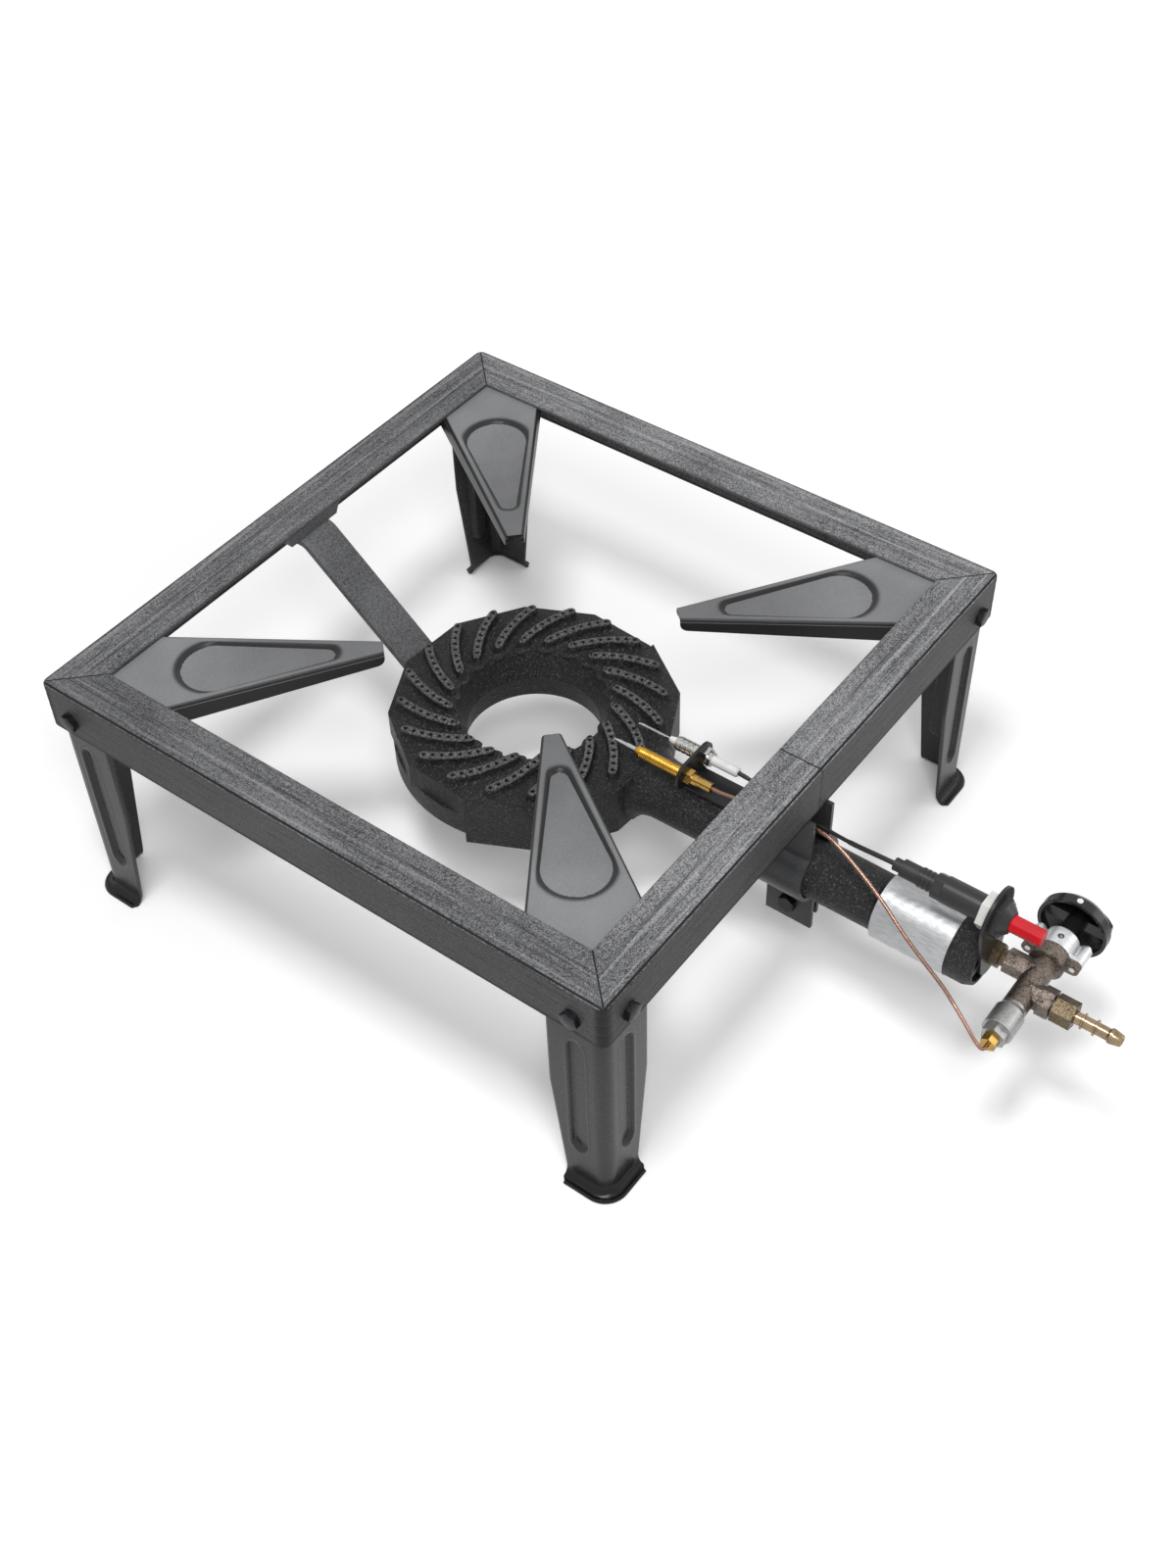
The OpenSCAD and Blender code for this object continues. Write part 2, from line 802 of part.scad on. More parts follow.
// Tear-drop form between an upper rim and a floor at depth d, grown by g
module drop(d, g, top) {
    hull() {
        translate([arm_reach + drop_small_at, 0, -d])
            cylinder(r1 = drop_small_r - drop_slope + g, r2 = drop_small_r + g, h = d + top,
                $fn = drop_fn);
        translate([arm_reach + drop_big_at - drop_soft, 0, -d])
            cylinder(r = drop_big_r - drop_slope - drop_soft + g, h = d / 2, $fn = drop_fn);
        translate([arm_reach + drop_big_at, 0, top - cut])
            cylinder(r = drop_big_r + g, h = cut, $fn = drop_fn);
    }
}

// One pan arm along +X with its top face on z 0
module arm() {
    inset = arm_fold / cos(arm_slope);
    difference() {
        union() {
            translate([0, 0, -arm_t])
                linear_extrude(arm_t)
                    polygon([[arm_reach, arm_tip_w / 2 - inset],
                        [arm_wide + sin(arm_slope) * arm_fold, arm_wide_half - cos(arm_slope) * arm_fold],
                        [leg_in * diagonal - arm_nose, arm_nose],
                        [leg_in * diagonal - arm_nose, -arm_nose],
                        [arm_wide + sin(arm_slope) * arm_fold, -arm_wide_half + cos(arm_slope) * arm_fold],
                        [arm_reach, -arm_tip_w / 2 + inset]]);
            arm_edge();
            mirror([0, 1, 0])
                arm_edge();
            translate([0, 0, -arm_t])
                drop(drop_d, arm_t / 2, arm_t / 2);
            for (m = [0, 1])
                mirror([0, m, 0])
                    rotate([0, 0, -45])
                        translate([leg_in - arm_t, arm_wide / diagonal - arm_wide_half / diagonal
                            + arm_fold, -tab_h])
                            cube([arm_t, tab_end - arm_wide / diagonal
                                + arm_wide_half / diagonal - arm_fold, tab_h]);
        }
        drop(drop_d, 0, cut);
        translate([arm_reach - 2 * arm_fold, -arm_tip_w, -arm_root_h])
            cube([2 * arm_fold, 2 * arm_tip_w, 2 * arm_root_h]);
    }
}

// The pan arm at corner k, counted from the front left one
module pan_arm_at(k) {
    color("#4b4e52")
    difference() {
        rotate([0, 0, 225 + 90 * k])
            translate([0, 0, arm_top])
                arm();
        corner_holes();
    }
}

// Hexagon bolt along +Z with its head below z 0
module bolt(d, af, head, length) {
    translate([0, 0, -head])
        hex(af, head);
    cylinder(d = d, h = length);
}

// Eight bolts that join the frame, the legs and the arms
module corner_bolts() {
    color("#2c2d2f")
    corners()
        both_faces()
            translate([frame_half, bolt_at, bolt_z])
                rotate([0, -90, 0])
                    bolt(bolt_d, bolt_af, bolt_head, bolt_length);
}

// Eight nuts inside the corners
module corner_nuts() {
    color("#5a5c5f")
    corners()
        both_faces()
            translate([leg_in - arm_t, bolt_at, bolt_z])
                rotate([0, -90, 0])
                    difference() {
                        hex(bolt_af, nut_h);
                        translate([0, 0, -cut])
                            cylinder(d = bolt_d + 2 * fit, h = nut_h + 2 * cut);
                    }
}

// Channel welded under the rear of the frame, with chamfered ends
module rear_bracket() {
    color("#333538")
    difference() {
        translate([0, window + bracket_depth, 0])
            rotate([90, 0, 0])
                linear_extrude(bracket_depth)
                    polygon([[-bracket_l / 2, arm_top], [-bracket_l / 2 + bracket_chamfer, bracket_low],
                        [bracket_l / 2 - bracket_chamfer, bracket_low], [bracket_l / 2, arm_top]]);
        translate([-bracket_l, window + bracket_t, bracket_low + bracket_t])
            cube([2 * bracket_l, bracket_depth - 2 * bracket_t, bracket_h]);
        translate([0, strap_bolt_y, bracket_low - cut])
            cylinder(d = bolt_d + 2 * slack, h = bracket_t + 2 * cut);
    }
}

// Bent flat bar from the bracket down to the ring
module rear_strap() {
    a = [window + bracket_depth, strap_z];
    b = [strap_bend_y, strap_z];
    c = [boss_face + strap_t / 2, strap_drop_z];
    d = [boss_face + strap_t / 2, strap_end_z];
    color("#3a3c3f")
    difference() {
        translate([-strap_w / 2, 0, 0])
            rotate([90, 0, 90])
                linear_extrude(strap_w)
                    polygon(ribbon(concat([a], bend(a, b, c, strap_bend_r, bend_steps),
                        bend(b, c, d, strap_bend_r, bend_steps), [d]), strap_t));
        translate([0, strap_bolt_y, strap_z - strap_t])
            cylinder(d = bolt_d + 2 * slack, h = 2 * strap_t);
        translate([0, boss_face - cut, strap_bolt_z])
            rotate([-90, 0, 0])
                cylinder(d = bolt_d + 2 * slack, h = strap_t + 2 * cut);
    }
}

// Bolt up into the bracket and bolt into the ring's boss
module strap_bolts() {
    color("#2c2d2f") {
        translate([0, strap_bolt_y, bracket_low - strap_t])
            bolt(bolt_d, bolt_af, bolt_head, strap_t + bracket_h);
        translate([0, boss_face + strap_t, strap_bolt_z])
            rotate([90, 0, 0])
                bolt(bolt_d, bolt_af, bolt_head, strap_t + bolt_length / 2);
    }
}

// Thin nut inside the bracket
module strap_nut() {
    color("#5a5c5f")
    translate([0, strap_bolt_y, bracket_low + bracket_t])
        difference() {
            hex(bolt_af, bracket_h - bracket_t - leg_gap);
            translate([0, 0, -cut])
                cylinder(d = bolt_d + 2 * fit, h = bracket_h + cut);
        }
}

// Inner and outer end of a rib's middle line
rib_in = rib_in_r * [cos(rib_sweep), sin(rib_sweep)];
rib_out = rib_out_r * [1, 0];
rib_chord = norm(rib_out - rib_in);
rib_centre = (rib_in + rib_out) / 2 + left(unit(rib_in - rib_out))
    * sqrt(pow(rib_curve_r, 2) - pow(rib_chord / 2, 2));
rib_arc = 2 * asin(rib_chord / 2 / rib_curve_r);
rib_start = atan2(rib_out[1] - rib_centre[1], rib_out[0] - rib_centre[0]);

// One swirl rib with round ends
module rib() {
    h = rib_h + rib_root;
    translate([rib_centre[0], rib_centre[1], ring_top - rib_root])
        rotate([0, 0, rib_start])
            rotate_extrude(angle = rib_arc)
                translate([rib_curve_r - rib_w / 2, 0])
                    square([rib_w, h]);
    for (p = [rib_in, rib_out])
        translate([p[0], p[1], ring_top - rib_root])
            cylinder(d = rib_w - slack, h = h);
}

// The row of gas ports in one rib
module ports() {
    for (i = [0 : port_count - 1])
        let(a = rib_start + rib_arc * i / (port_count - 1))
            translate([rib_centre[0] + rib_curve_r * cos(a), rib_centre[1] + rib_curve_r * sin(a),
                ring_top - channel_wall - cut])
                cylinder(d = port_d, h = channel_wall + rib_h + 2 * cut);
}

// Outer form of the mixing tube, turned round the tube's axis
module tube_form() {
    outward(0, 0, tube_z)
        rotate_extrude()
            polygon(concat([[0, tube_face - tube_flare], [tube_root_r + tube_flare_r,
                tube_face - tube_flare]],
                [for (i = [0 : flare_steps]) let(a = 90 * i / flare_steps)
                    [tube_root_r + tube_flare_r * (1 - sin(a)), tube_face
                        + tube_flare * (1 - cos(a))]],
                [[tube_end_r, chamber_start], [chamber_r, chamber_start + chamber_edge / 2],
                [chamber_r, tube_end - chamber_edge], [chamber_bore_r + leg_t, tube_end],
                [0, tube_end]]));
}

// Full-height front of the ring, which carries the tube
module ring_front() {
    translate([0, ring_y, ring_low + slack])
        linear_extrude(ring_h - 2 * slack)
            polygon([for (k = [0 : 5]) front_r * [cos(ring_turn + 180 + 30 * k),
                sin(ring_turn + 180 + 30 * k)]]);
}

// Bore of the mixing tube with its wider chamber at the open end
module tube_bore() {
    outward(0, 0, tube_z)
        rotate_extrude()
            polygon([[0, tube_face - tube_flare], [tube_bore_r, tube_face - tube_flare],
                [tube_bore_r, chamber_start], [chamber_bore_r, chamber_start + 2 * chamber_edge],
                [chamber_bore_r, tube_end + cut], [0, tube_end + cut]]);
}

// Swirl ring, mixing tube and injector hub, cast in one piece
module burner_casting() {
    color("#262728") {
        difference() {
            union() {
                translate([0, ring_y, 0])
                    rotate_extrude()
                        polygon([[hole_waist_r - ring_edge, ring_low], [bowl_r - ring_edge, ring_low],
                            [bowl_r, ring_low + ring_edge], [bowl_r, ring_split + cut],
                            [hole_waist_r - ring_edge, ring_split + cut]]);
                translate([0, ring_y, ring_split])
                    rotate([0, 0, ring_turn])
                        cylinder(r = ring_r, h = ring_upper_h, $fn = 12);
                ring_front();
                for (k = [0 : rib_count - 1])
                    translate([0, ring_y, 0])
                        rotate([0, 0, rib_first + 360 * k / rib_count])
                            rib();
                difference() {
                    tube_form();
                    translate([-ring_r, -tube_face + slack, ring_top - slack])
                        cube([2 * ring_r, 2 * tube_face, ring_h]);
                    translate([-ring_r, -tube_face - tube_flare - cut, tube_z + tube_root_r + slack])
                        cube([2 * ring_r, 2 * tube_face, ring_h]);
                    translate([-ring_r, -tube_face - tube_flare - cut, ring_low + slack - ring_h])
                        cube([2 * ring_r, 2 * tube_face, ring_h]);
                }
                translate([-strap_w / 2, channel_out_r, ring_low])
                    cube([strap_w, boss_face - channel_out_r, ring_split - ring_low]);
                translate([pilot_strip_x - pad_w / 2, -pad_end, tube_z])
                    cube([pad_w, pad_end - pad_start, pad_rise]);
            }
            translate([0, ring_y, 0])
                rotate_extrude()
                    polygon([[0, ring_low - cut], [hole_low_r, ring_low - cut], [hole_low_r, ring_low],
                        [hole_waist_r, ring_split], [hole_top_r + hole_slope * cut, ring_top + cut],
                        [0, ring_top + cut]]);
            translate([0, ring_y, 0])
                rotate_extrude()
                    translate([channel_in_r, ring_low + channel_wall])
                        square([channel_out_r - channel_in_r, ring_h - 2 * channel_wall]);
            tube_bore();
            for (k = [0 : rib_count - 1])
                translate([0, ring_y, 0])
                    rotate([0, 0, rib_first + 360 * k / rib_count])
                        ports();
            translate([0, boss_face + cut, strap_bolt_z])
                rotate([90, 0, 0])
                    cylinder(d = bolt_d + 2 * fit, h = bolt_length / 2 + 2 * cut);
            translate([pilot_strip_x, -pilot_screw_at, tube_z + tube_bore_r + cut])
                cylinder(d = pilot_screw_d + 2 * fit, h = pad_rise);
        }
        difference() {
            union() {
                outward(outlet_x, tube_end - hub_l, tube_z)
                    cylinder(r = hub_r, h = hub_l);
                translate([-chamber_bore_r - cut, -tube_end, tube_z - spoke_h / 2])
                    cube([2 * chamber_bore_r + 2 * cut, hub_l, spoke_h]);
            }
            outward(outlet_x, tube_end - hub_l - cut, tube_z)
                cylinder(r = injector_r + fit, h = hub_l + 2 * cut);
        }
    }
}

// One half of the tube clamp on the -X side, with a lower tab of the given length
module clamp_half(tab_length) {
    a1 = acos(-clamp_wall / clamp_mid);
    a2 = 360 - acos(-tab_mid / clamp_mid);
    chain = concat([[-clamp_wall - clamp_lip, arm_top - clamp_t / 2 - tube_z],
        [-clamp_wall - clamp_t / 2, arm_top - clamp_t / 2 - tube_z]],
        [[-clamp_wall, arm_top - clamp_t - tube_z]],
        [for (i = [0 : clamp_steps]) let(a = a1 + (a2 - a1) * i / clamp_steps)
            clamp_mid * [cos(a), sin(a)]],
        [[-tab_mid, -tab_length]]);
    difference() {
        intersection() {
            outward(0, clamp_start, tube_z)
                linear_extrude(clamp_end - clamp_start)
                    polygon(ribbon(chain, clamp_t));
            union() {
                translate([-2 * clamp_mid, -clamp_inner_end, tube_z])
                    cube([2 * clamp_mid, clamp_inner_end - clamp_start + cut, ring_drop + frame_h]);
                translate([-2 * clamp_mid, -clamp_end - cut, tube_z - tab_length - cut])
                    cube([2 * clamp_mid, clamp_end, clamp_low - tube_z + tab_length + cut]);
            }
        }
        translate([-2 * tab_mid, -clamp_bolt_at, clamp_bolt_z])
            rotate([0, 90, 0])
                cylinder(d = bolt_d + 2 * slack, h = 2 * tab_mid);
    }
}

// Left half of the clamp, with the long tab
module clamp_left() {
    color("#54575b")
    clamp_half(tab_long);
}

// Right half of the clamp, with the short tab
module clamp_right() {
    color("#54575b")
    mirror([1, 0, 0])
        clamp_half(tab_short);
}

// Bolt that draws the clamp's tabs together
module clamp_bolt() {
    color("#2c2d2f")
    translate([-tab_half - clamp_t, -clamp_bolt_at, clamp_bolt_z])
        rotate([0, 90, 0])
            bolt(bolt_d, bolt_af, bolt_head, bolt_length);
}

// Nut of the clamp bolt
module clamp_nut() {
    color("#5a5c5f")
    translate([tab_half + clamp_t, -clamp_bolt_at, clamp_bolt_z])
        rotate([0, 90, 0])
            difference() {
                hex(bolt_af, nut_h);
                translate([0, 0, -cut])
                    cylinder(d = bolt_d + 2 * fit, h = nut_h + 2 * cut);
            }
}

// Bent bracket on the tube for the thermocouple and the electrode
module pilot_bracket() {
    low = tube_z + pad_rise;
    color("#1f2021")
    difference() {
        union() {
            outward(0, pilot_at, pilot_z)
                linear_extrude(pilot_t) {
                    translate([couple_x, 0])
                        rotate([0, 0, -90])
                            egg(pilot_lobe_r, pilot_lobe_r, spark_x - couple_x);
                    translate([pilot_strip_x - pad_w / 2, low - pilot_z])
                        square([pad_w, pilot_z - low]);
                }
            translate([pilot_strip_x - pilot_strip_w / 2, -pad_end, low])
                cube([pilot_strip_w, pad_end - pilot_at, pilot_t]);
        }
        outward(couple_x, pilot_at - cut, pilot_z)
            cylinder(d = couple_d + 2 * fit, h = pilot_t + 2 * cut);
        outward(spark_x, pilot_at - cut, pilot_z)
            cylinder(d = ceramic_d + 2 * fit, h = pilot_t + 2 * cut);
        translate([pilot_strip_x, -pilot_screw_at, low - cut])
            cylinder(d = pilot_screw_d + 2 * slack, h = pilot_t + 2 * cut);
    }
}

// Screw that holds the pilot bracket on the tube's pad
module pilot_screw() {
    color("#6a6c70")
    translate([pilot_strip_x, -pilot_screw_at, tube_z + pad_rise + pilot_t])
        rotate([180, 0, 0])
            bolt(pilot_screw_d, pilot_screw_af, pilot_screw_head, pilot_t + pilot_screw_in);
}

// Brass body of the thermocouple, with its collar behind the plate
module thermocouple() {
    color("#c79a3a")
    outward(couple_x, pilot_at - couple_front, pilot_z) {
        cylinder(d1 = couple_tip_d + couple_nose, d2 = couple_d, h = couple_nose);
        translate([0, 0, couple_nose])
            cylinder(d = couple_d, h = couple_front + pilot_t - couple_nose);
    }
}

// Steel tip of the thermocouple over the ports
module thermocouple_tip() {
    color("#b9bcc0")
    outward(couple_x, pilot_at - couple_front - couple_tip_l, pilot_z) {
        cylinder(d1 = couple_point_d, d2 = couple_tip_d - couple_tip_step, h = couple_point_l);
        translate([0, 0, couple_point_l])
            cylinder(d = couple_tip_d - couple_tip_step, h = couple_thin_l);
        translate([0, 0, couple_point_l + couple_thin_l])
            cylinder(d = couple_tip_d, h = couple_tip_l - couple_point_l - couple_thin_l);
    }
}

// Brass collar and gland that hold the thermocouple behind the plate
module thermocouple_gland() {
    color("#c9a24a")
    outward(couple_x, pilot_at + pilot_t, pilot_z) {
        hex(couple_collar_d, couple_collar_l);
        translate([0, 0, couple_collar_l])
            cylinder(d = couple_ring_d, h = couple_ring_l);
        translate([0, 0, couple_collar_l + couple_ring_l])
            cylinder(d = couple_gland_d, h = couple_rear - couple_collar_l - couple_ring_l);
    }
}

// Bent wire of the spark electrode
module electrode_rod() {
    y = pilot_at - rod_reach;
    color("#c4c6c8")
    wire(concat([for (b = rod_bends) [spark_x, -y - b[0], pilot_z + b[1]]],
        [[spark_x, -(pilot_at - ceramic_front), pilot_z]]), rod_d / 2, 8, [1, 0, 0]);
}

// White ceramic of the electrode, right through its holder
module electrode_ceramic() {
    color("#efeeea")
    outward(spark_x, pilot_at - ceramic_front, pilot_z) {
        cylinder(d1 = ceramic_tip_d, d2 = ceramic_cone_d, h = ceramic_cone_l);
        translate([0, 0, ceramic_cone_l])
            cylinder(d = ceramic_d, h = ceramic_front + pilot_t + ceramic_rear - ceramic_cone_l
                - ceramic_edge);
        translate([0, 0, ceramic_front + pilot_t + ceramic_rear - ceramic_edge])
            cylinder(d1 = ceramic_d, d2 = ceramic_end_d, h = ceramic_edge);
    }
}

// Nickel-plated holder in front of the plate, with turned grooves
module electrode_holder() {
    color("#bfc1c4")
    outward(spark_x, pilot_at - holder_l, pilot_z)
        difference() {
            union() {
                cylinder(d = holder_core_d, h = holder_l);
                for (i = [0 : holder_rings - 1])
                    translate([0, 0, holder_first + holder_step * i])
                        cylinder(d = holder_d, h = holder_ring_l);
            }
            translate([0, 0, -cut])
                cylinder(d = ceramic_d + 2 * fit, h = holder_l + 2 * cut);
        }
}

// Nut that draws the holder against the plate
module electrode_nut() {
    color("#c6c8cb")
    outward(spark_x, pilot_at + pilot_t, pilot_z)
        difference() {
            union() {
                hex(spark_nut_af, spark_nut_hex_h);
                translate([0, 0, spark_nut_hex_h])
                    cylinder(d = spark_nut_d, h = spark_nut_h - spark_nut_hex_h);
            }
            translate([0, 0, -cut])
                cylinder(d = ceramic_d + 2 * fit, h = spark_nut_h + 2 * cut);
        }
}

// Copper lead from the thermocouple to the tap
module thermocouple_lead() {
    color("#b4694a")
    wire(smooth(copper_route, 3), copper_d / 2, 8, [0, 0, 1]);
}

// Black lead from the igniter to the electrode
module ignition_lead() {
    color("#151515")
    wire(smooth(spark_route, 3), lead_d / 2, 8, [0, 0, 1]);
}

// Rubber boot on the igniter's back
module igniter_boot() {
    color("#1b1b1c")
    outward(0, plate_at - neck_back - boot_l, igniter_z)
        difference() {
            union() {
                cylinder(d = boot_thin_d, h = boot_thin_l);
                translate([0, 0, boot_thin_l])
                    cylinder(d = boot_d, h = boot_l - boot_thin_l);
            }
            translate([0, 0, -cut])
                cylinder(d = lead_d + 2 * fit, h = boot_hole_l);
        }
}

// Egg-shaped plate across the open end of the tube
module end_plate() {
    color("#232425")
    difference() {
        outward(0, plate_at, tube_z)
            linear_extrude(plate_t)
                translate([outlet_x / 2, 0])
                    rotate([0, 0, atan(outlet_x / 2 / igniter_rise)])
                        egg(plate_low_r, plate_top_r, norm([outlet_x / 2, igniter_rise]));
        outward(0, plate_at - cut, igniter_z)
            cylinder(d = thread_d + 2 * slack, h = plate_t + 2 * cut);
        outward(outlet_x, plate_at - cut, tube_z)
            cylinder(r = injector_r + slack, h = plate_t + 2 * cut);
    }
}

// Black igniter body with its threaded neck and bezel
module igniter_body() {
    color("#1d1e1f")
    difference() {
        union() {
            outward(0, plate_at - neck_back, igniter_z)
                cylinder(d = neck_d, h = neck_back - body_back);
            for (i = [0 : neck_ribs - 1])
                outward(0, plate_at - body_back - neck_rib_l - neck_rib_step * i, igniter_z)
                    cylinder(d = neck_rib_d, h = neck_rib_l);
            outward(0, plate_at - body_back + body_square_l, igniter_z)
                cylinder(d = igniter_d, h = body_back - body_square_l - igniter_nut_h);
            outward(0, plate_at - body_back, igniter_z)
                linear_extrude(body_square_l)
                    intersection() {
                        circle(d = igniter_d);
                        rotate([0, 0, 45])
                            square(body_square, center = true);
                    }
            outward(0, plate_at - igniter_nut_h - cut, igniter_z)
                cylinder(d = thread_d, h = igniter_nut_h + plate_t + 2 * cut);
            outward(0, plate_face, igniter_z)
                hex(bezel_af, bezel_h);
            outward(0, plate_face + bezel_h, igniter_z)
                cylinder(d1 = bezel_af, d2 = bezel_cone_d, h = bezel_cone_h);
        }
        outward(0, plate_face + bezel_h + bezel_cone_h - shank_bore_l, igniter_z)
            cylinder(d = shank_d + 2 * fit, h = shank_bore_l + cut);
    }
}

// White plastic nut behind the end plate
module igniter_nut() {
    color("#e9e8e2")
    outward(0, plate_at - igniter_nut_h, igniter_z)
        difference() {
            hex(igniter_nut_af, igniter_nut_h);
            translate([0, 0, -cut])
                cylinder(d = thread_d + 2 * fit, h = igniter_nut_h + 2 * cut);
        }
}

// Red push button with its round shank
module igniter_button() {
    face = plate_face + bezel_h + bezel_cone_h;
    color("#d4202a") {
        outward(0, face, igniter_z)
            cylinder(d = button_af / cos(22.5), h = button_out, $fn = 8);
        outward(0, face - shank_l, igniter_z)
            cylinder(d = shank_d, h = shank_l);
    }
}

// Return spring behind the button
module igniter_spring() {
    back = plate_face + bezel_h + bezel_cone_h - shank_bore_l;
    color("#9a9da1")
    outward(0, back + slack, igniter_z)
        spring(igniter_spring_d, igniter_wire, shank_bore_l - shank_l - 2 * slack, igniter_turns);
}

// Brass injector through the plate, from the hub to the tap
module injector() {
    color("#b99246")
    difference() {
        outward(outlet_x, tube_end - hub_l - injector_nose, tube_z)
            union() {
                cylinder(r1 = injector_r / 2, r2 = injector_r, h = injector_nose);
                translate([0, 0, injector_nose])
                    cylinder(r = injector_r, h = hub_l + plate_t + tap_gap - outlet_l + thread_l
                        - slack);
            }
        outward(outlet_x, tube_end - hub_l - injector_nose - cut, tube_z)
            cylinder(r = gas_r / 4, h = hub_l);
        outward(outlet_x, tube_end - hub_l, tube_z)
            cylinder(r = gas_r, h = hub_l + plate_t + tap_gap);
    }
}

// Brass lock nut that draws the plate against the hub
module injector_nut() {
    color("#c0a050")
    outward(outlet_x, plate_face, tube_z)
        difference() {
            hex(injector_nut_af, nut_h);
            translate([0, 0, -cut])
                cylinder(r = injector_r + fit, h = nut_h + 2 * cut);
        }
}

// Outline round the tap's collar d with its two lugs
module lug_outline(d) {
    circle(d = d);
    for (s = [-1, 1])
        translate([0, s * lug_reach])
            circle(lug_r);
    square([2 * lug_r, 2 * lug_reach], center = true);
}

// Bronze body of the tap with its outlet, inlet and flange
module tap_body() {
    color("#6a5c4d")
    difference() {
        union() {
            tap_axis(-barrel_left)
                cylinder(d = barrel_d, h = barrel_left + collar_x);
            tap_axis(collar_x - collar_edge)
                cylinder(d1 = barrel_d, d2 = collar_d, h = collar_edge);
            tap_axis(collar_x)
                cylinder(d = collar_d, h = bonnet_x - collar_x);
            tap_axis(bonnet_x - lug_l)
                linear_extrude(lug_l)
                    lug_outline(collar_d);
            translate([outlet_x, -tap_at, tap_z])
                rotate([-90, 0, 0]) {
                    rotate([0, 0, 30])
                        hex(outlet_af, outlet_l);
                }
            outward(inlet_x, tap_at, tap_z) {
                rotate([0, 0, 30])
                    hex(inlet_boss_af, inlet_boss_l);
                translate([0, 0, inlet_boss_l])
                    rotate([0, 0, 30])
                        hex(inlet_af, inlet_l - inlet_boss_l);
                translate([0, 0, inlet_l])
                    cylinder(r = thread_r, h = thread_l);
            }
        }
        tap_axis(plug_start)
            cylinder(r1 = plug_small_r + fit, r2 = plug_big_r + fit, h = plug_l);
        tap_axis(plug_start + plug_l)
            cylinder(r = plug_big_r + fit, h = bonnet_x - plug_start - plug_l + cut);
        tap_axis(-barrel_left - cut)
            cylinder(d = pin_d + 2 * fit, h = barrel_left + plug_start + 2 * cut);
        translate([outlet_x, -tap_at, tap_z])
            rotate([-90, 0, 0]) {
                cylinder(r = gas_r, h = outlet_l + cut);
                translate([0, 0, outlet_l - thread_l])
                    cylinder(r = injector_r + fit, h = thread_l + cut);
            }
        outward(inlet_x, tap_at, tap_z)
            cylinder(r = gas_r, h = inlet_l + thread_l + cut);
        for (s = [-1, 1])
            translate([bonnet_x - lug_l - cut, -tap_at + s * lug_reach, tap_z])
                rotate([0, 90, 0])
                    cylinder(d = bonnet_screw_d + 2 * fit, h = lug_l + 2 * cut);
    }
}

// Tapered plug that turns in the tap, with its gas way
module tap_plug() {
    color("#c9a763")
    difference() {
        tap_axis(plug_start)
            cylinder(r1 = plug_small_r, r2 = plug_big_r, h = plug_l);
        tap_axis(plug_start + plug_l - spindle_in)
            cylinder(d = spindle_d + 2 * fit, h = spindle_in + cut);
        tap_axis(plug_start - cut)
            cylinder(d = pin_d + 2 * fit, h = plug_l);
        translate([outlet_x, -tap_at, tap_z - plug_big_r - cut])
            cylinder(d = plug_port_d, h = 2 * plug_big_r + 2 * cut);
    }
}

// Spindle from the plug to the knob, with the collar that holds it in the bonnet
module tap_spindle() {
    color("#a9acb0")
    difference() {
        union() {
            tap_axis(spindle_start)
                cylinder(d = spindle_d, h = spindle_end - spindle_start);
            tap_axis(bonnet_end - bonnet_wall - collar_l - slack)
                cylinder(d = spindle_collar_d, h = collar_l);
        }
        translate([spindle_end - flat_l, -tap_at - spindle_d, tap_z + spindle_d
            * (flat_share - 0.5)])
            cube([flat_l + cut, 2 * spindle_d, spindle_d]);
    }
}

// Spring that returns the spindle and the knob
module spindle_spring() {
    start = plug_start + plug_l + slack;
    color("#9a9da1")
    tap_axis(start)
        spring(spring_d, spring_wire, bonnet_end - bonnet_wall - collar_l - 2 * slack - start,
            spring_turns);
}

// Zinc bonnet over the spring, with a pillar on each lug
module tap_bonnet() {
    color("#c3c6c9")
    difference() {
        tap_axis(bonnet_x)
            union() {
                linear_extrude(bonnet_foot)
                    lug_outline(bonnet_d);
                cylinder(d = bonnet_d, h = bonnet_l);
                for (s = [-1, 1])
                    translate([0, s * lug_reach, 0])
                        cylinder(r = lug_r, h = bonnet_l);
            }
        tap_axis(bonnet_x - cut)
            cylinder(d = bonnet_bore_d, h = bonnet_l - bonnet_wall + cut);
        tap_axis(bonnet_x)
            cylinder(d = spindle_d + 2 * fit, h = bonnet_l + cut);
        translate([bonnet_x + bonnet_l / 2, -tap_at, tap_z])
            cylinder(d = vent_d, h = bonnet_d);
        for (s = [-1, 1])
            translate([bonnet_x - cut, -tap_at + s * lug_reach, tap_z])
                rotate([0, 90, 0])
                    cylinder(d = bonnet_screw_d + 2 * fit, h = bonnet_l + 2 * cut);
    }
}

// Two screws through the bonnet's pillars into the flange
module bonnet_screws() {
    color("#8d9094")
    for (s = [-1, 1])
        translate([bonnet_x - lug_l, -tap_at + s * lug_reach, tap_z])
            rotate([0, 90, 0]) {
                cylinder(d = bonnet_screw_d, h = lug_l + bonnet_l);
                translate([0, 0, lug_l + bonnet_l])
                    cylinder(d = bonnet_screw_head_d, h = bonnet_screw_head_h);
            }
}

